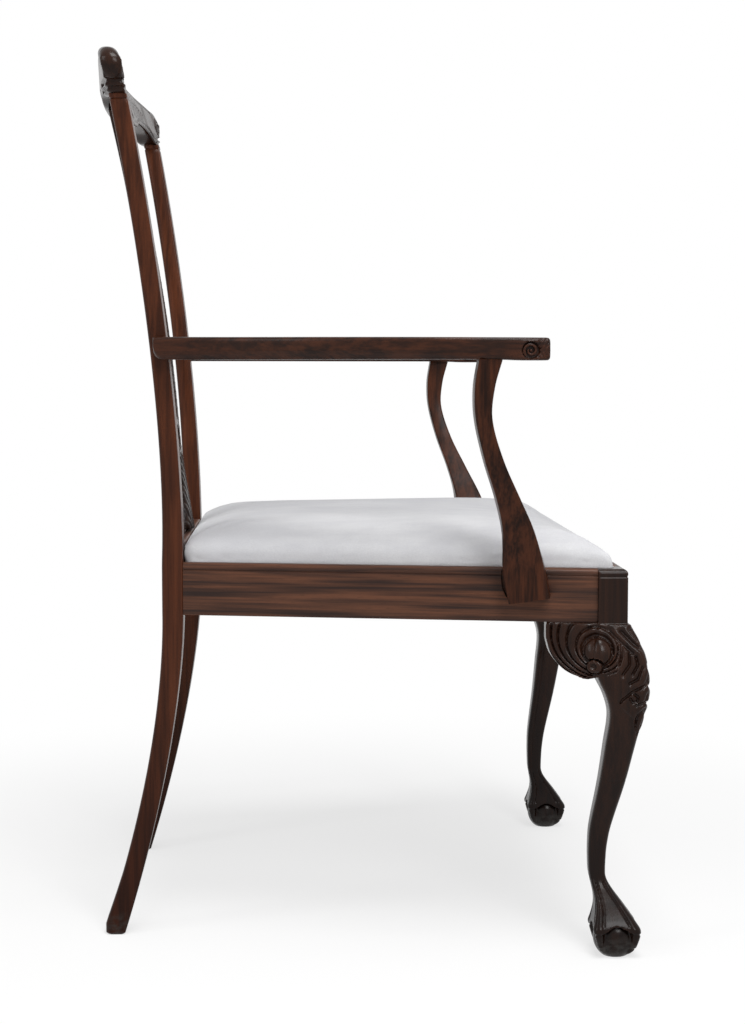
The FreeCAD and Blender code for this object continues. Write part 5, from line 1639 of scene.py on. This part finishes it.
def flat_cloth(name, node, material):
    """A cloth stretched flat over the seat frame and cut to its taper."""
    low, high = (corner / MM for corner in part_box(node))
    inset = seat_side(low.y, 0.0) - high.x
    steps = 24
    thick = 0.7
    bm = bmesh.new()
    level = (low.z + high.z) / 2
    layers = []
    for lift in (-thick / 2, thick / 2):
        grid = []
        for j in range(steps + 1):
            y = mix(low.y, high.y, j / steps)
            half = seat_side(y, 0.0) - inset
            grid.append([bm.verts.new(((2 * i / steps - 1) * half, y, level + lift)) for i in range(steps + 1)])
        for j in range(steps):
            for i in range(steps):
                bm.faces.new((grid[j][i], grid[j][i + 1], grid[j + 1][i + 1], grid[j + 1][i]))
        layers.append(grid)
    rims = [grid[0] + [row[-1] for row in grid[1:]] + grid[-1][-2::-1] + [row[0] for row in grid[-2:0:-1]]
            for grid in layers]
    for (a, b), (c, d) in zip(closed_pairs(rims[0]), closed_pairs(rims[1])):
        bm.faces.new((a, b, d, c))
    bmesh.ops.recalc_face_normals(bm, faces=bm.faces)
    near, far = seat_side(low.y, 0.0) - inset, seat_side(high.y, 0.0) - inset
    piece = finish_piece(name, bm, SEAT_BODY, [node], material)


class ARMCHAIR_OT_bottom_cloth(bpy.types.Operator):
    """Black cloth that closes the seat from below"""
    bl_idname = "armchair.bottom_cloth"
    bl_label = "Bottom cloth"

    def execute(self, context):
        black = woven("black_cloth", 0.0008, (0.045, 0.043, 0.042), (0.012, 0.012, 0.012))
        flat_cloth("seat_bottom_cloth_tacked", "seat_bottom_cloth", black)
        return {"FINISHED"}


def tack_tree(material):
    """Geometry nodes: a domed tack head at each point."""
    tree = bpy.data.node_groups.new("Tacks", "GeometryNodeTree")
    tree.interface.new_socket("Geometry", in_out="INPUT", socket_type="NodeSocketGeometry")
    radius = tree.interface.new_socket("Head radius", in_out="INPUT", socket_type="NodeSocketFloat")
    tree.interface.new_socket("Geometry", in_out="OUTPUT", socket_type="NodeSocketGeometry")
    given = tree.nodes.new("NodeGroupInput").outputs
    put = tree.nodes.new("NodeGroupOutput").inputs
    dome = add_node(tree, "GeometryNodeMeshUVSphere", {"Segments": 12, "Rings": 6},
                    {"Radius": given["Head radius"]})
    flat = add_node(tree, "GeometryNodeTransform", {"Scale": (1.0, 1.0, 0.3)},
                    {"Geometry": dome.outputs["Mesh"]})
    heads = add_node(tree, "GeometryNodeInstanceOnPoints", None,
                     {"Points": given["Geometry"], "Instance": flat.outputs["Geometry"]})
    real = add_node(tree, "GeometryNodeRealizeInstances", None, {"Geometry": heads.outputs["Instances"]})
    painted = add_node(tree, "GeometryNodeSetMaterial", {"Material": material},
                       {"Geometry": real.outputs["Geometry"]})
    tree.links.new(painted.outputs["Geometry"], put["Geometry"])
    return tree, radius.identifier


class ARMCHAIR_OT_tacks(bpy.types.Operator):
    """Tacks along the edges of the bottom cloth"""
    bl_idname = "armchair.tacks"
    bl_label = "Tacks"

    def execute(self, context):
        low, high = (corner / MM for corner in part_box("seat_tacks"))
        head = sizes().tack
        reach = head / MM
        level = low.z + 0.6
        front, back = low.y + reach, high.y - reach
        inset = seat_side(mix(front, back, 0.1), 0.0) - high.x + reach
        places = [((i - 2) / 2.4 * (seat_side(y, 0.0) - inset), y) for i in range(5) for y in (front, back)]
        for i in range(5):
            y = mix(front, back, 0.1 + 0.2 * i)
            x = seat_side(y, 0.0) - inset
            places += [(x, y), (-x, y)]
        mesh = bpy.data.meshes.new("tack_points")
        mesh.from_pydata([(x * MM, y * MM, level * MM) for x, y in places], [], [])
        points = linked("tack_points", mesh)
        tree, radius = tack_tree(old_steel())
        nodes = points.modifiers.new("Tacks", "NODES")
        nodes.node_group = tree
        nodes[radius] = head
        bm = taken_from(evaluated_mesh(points))
        bpy.data.objects.remove(points)
        bpy.data.meshes.remove(mesh)
        to_millimetres(bm)
        finish_piece("seat_tack_heads", bm, SEAT_BODY, ["seat_tacks"], old_steel())
        return {"FINISHED"}


class ARMCHAIR_OT_screws(bpy.types.Operator):
    """Steel finish for the screws of the arms and their supports"""
    bl_idname = "armchair.screws"
    bl_label = "Screws"

    def execute(self, context):
        for node in ("left_arm_screw", "right_arm_screw", "left_support_screws", "right_support_screws"):
            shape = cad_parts[node]
            for slot in shape.material_slots:
                slot.link = "OBJECT"
                slot.material = old_steel()
        return {"FINISHED"}


# ---------------------------------------------------------------- stage

# Camera in metres, its turn about Z from +X, how far it looks down, and its lens.
CAMERA_PLACE = (-2.2848, 0.0732, 0.6458)
CAMERA_TURN = 0.0406
CAMERA_DIP = 0.0777
CAMERA_LENS = 65.17


def seen_directly(tree):
    """1 for what the camera sees, straight or in reflections, and 0 for the light on the chair."""
    rays = add_node(tree, "ShaderNodeLightPath").outputs
    reflected = maths(tree, "MAXIMUM", rays["Is Glossy Ray"], rays["Is Transmission Ray"])
    return maths(tree, "MAXIMUM", rays["Is Camera Ray"], reflected)


def pale_floor():
    """White paper that keeps the chair's shadow near it and fades to plain white."""
    material, tree, shader = new_material("studio_paper")
    place = add_node(tree, "ShaderNodeTexCoord").outputs["Object"]
    away = add_node(tree, "ShaderNodeVectorMath", None, {0: place}, operation="LENGTH").outputs["Value"]
    fibre = noise(tree, place, 260.0, 3.0)
    tree.links.new(mixed(tree, fibre, (0.90, 0.90, 0.90, 1.0), (0.93, 0.93, 0.93, 1.0)), shader["Base Color"])
    shader["Roughness"].default_value = 0.9
    shader["Specular IOR Level"].default_value = 0.1
    paper = maths(tree, "ADD", maths(tree, "MULTIPLY", ramp(tree, away, 0.35, 1.2), 0.32), 0.68)
    share = maths(tree, "MULTIPLY", paper, seen_directly(tree))
    white = add_node(tree, "ShaderNodeEmission", {"Color": (1.0, 1.0, 1.0, 1.0), "Strength": 1.0})
    blend = add_node(tree, "ShaderNodeMixShader", None,
                     {0: share, 1: tree.nodes["Principled BSDF"].outputs[0], 2: white.outputs[0]})
    tree.links.new(blend.outputs[0], tree.nodes["Material Output"].inputs["Surface"])
    return material


def soft_lamp(name, place, target, width, height, watts):
    """A soft box that faces a target."""
    lamp = bpy.data.lights.new(name, "AREA")
    lamp.shape = "RECTANGLE"
    lamp.size, lamp.size_y = width, height
    lamp.energy = watts
    lamp.color = (1.0, 1.0, 1.0)
    item = linked(name, lamp)
    item.location = place
    item.rotation_euler = (Vector(target) - Vector(place)).to_track_quat("-Z", "Y").to_euler()


class ARMCHAIR_OT_stage(bpy.types.Operator):
    """White floor, soft studio light and the camera"""
    bl_idname = "armchair.stage"
    bl_label = "Stage"

    def execute(self, context):
        scene = context.scene
        scene.view_settings.view_transform = "Standard"
        bm = bmesh.new()
        bmesh.ops.create_circle(bm, cap_ends=True, segments=96, radius=6.0)
        mesh = mesh_from("studio_floor", bm)
        mesh.materials.append(pale_floor())
        linked("studio_floor", mesh)

        world = bpy.data.worlds.new("studio")
        world.use_nodes = True
        tree = world.node_tree
        fill = 0.36
        glow = tree.nodes["Background"].inputs
        glow["Color"].default_value = (1.0, 1.0, 1.0, 1.0)
        strength = maths(tree, "ADD", maths(tree, "MULTIPLY", seen_directly(tree), 1.0 - fill), fill)
        tree.links.new(strength, glow["Strength"])
        scene.world = world

        soft_lamp("overhead_softbox", (-1.05, -0.25, 2.7), (0.0, 0.0, 0.45), 1.0, 1.1, 47.0)
        soft_lamp("front_softbox", (-2.2, -0.8, 1.9), (0.0, -0.1, 0.4), 0.75, 0.75, 21.0)
        soft_lamp("rear_softbox", (-1.2, 2.0, 1.7), (0.0, 0.1, 0.6), 0.6, 1.1, 9.0)

        lens = bpy.data.cameras.new("camera")
        lens.lens = CAMERA_LENS
        lens.sensor_width = 36.0
        lens.sensor_fit = "AUTO"
        camera = linked("camera", lens)
        camera.location = CAMERA_PLACE
        level = math.cos(CAMERA_DIP)
        forward = Vector((level * math.cos(CAMERA_TURN), -level * math.sin(CAMERA_TURN), -math.sin(CAMERA_DIP)))
        camera.rotation_euler = forward.to_track_quat("-Z", "Y").to_euler()
        scene.camera = camera
        return {"FINISHED"}


# ---------------------------------------------------------------- panel and start

OPERATORS = (
    ARMCHAIR_OT_back_posts, ARMCHAIR_OT_rails, ARMCHAIR_OT_blocks, ARMCHAIR_OT_front_legs, ARMCHAIR_OT_arms,
    ARMCHAIR_OT_arm_supports, ARMCHAIR_OT_crest, ARMCHAIR_OT_splat, ARMCHAIR_OT_seat_frame, ARMCHAIR_OT_seat_layers,
    ARMCHAIR_OT_cushion, ARMCHAIR_OT_bottom_cloth, ARMCHAIR_OT_tacks, ARMCHAIR_OT_screws, ARMCHAIR_OT_stage,
)


class ARMCHAIR_PT_panel(bpy.types.Panel):
    """Pieces and settings of the armchair"""
    bl_idname = "ARMCHAIR_PT_panel"
    bl_label = "Carved armchair"
    bl_space_type = "VIEW_3D"
    bl_region_type = "UI"
    bl_category = "Armchair"

    def draw(self, context):
        layout = self.layout
        for settings in (context.scene.armchair_sizes, context.scene.armchair_finishes):
            for name in type(settings).__annotations__:
                layout.prop(settings, name)
        for operator in OPERATORS:
            layout.operator(operator.bl_idname)


CLASSES = (ArmchairSizes, ArmchairFinishes, *OPERATORS, ARMCHAIR_PT_panel)


def register():
    for item in CLASSES:
        bpy.utils.register_class(item)
    bpy.types.Scene.armchair_sizes = bpy.props.PointerProperty(type=ArmchairSizes)
    bpy.types.Scene.armchair_finishes = bpy.props.PointerProperty(type=ArmchairFinishes)


def unregister():
    del bpy.types.Scene.armchair_finishes
    del bpy.types.Scene.armchair_sizes
    for item in reversed(CLASSES):
        bpy.utils.unregister_class(item)


def main():
    register()
    for operator in OPERATORS:
        group, name = operator.bl_idname.split(".")
        getattr(getattr(bpy.ops, group), name)()


if __name__ == "__main__":
    main()
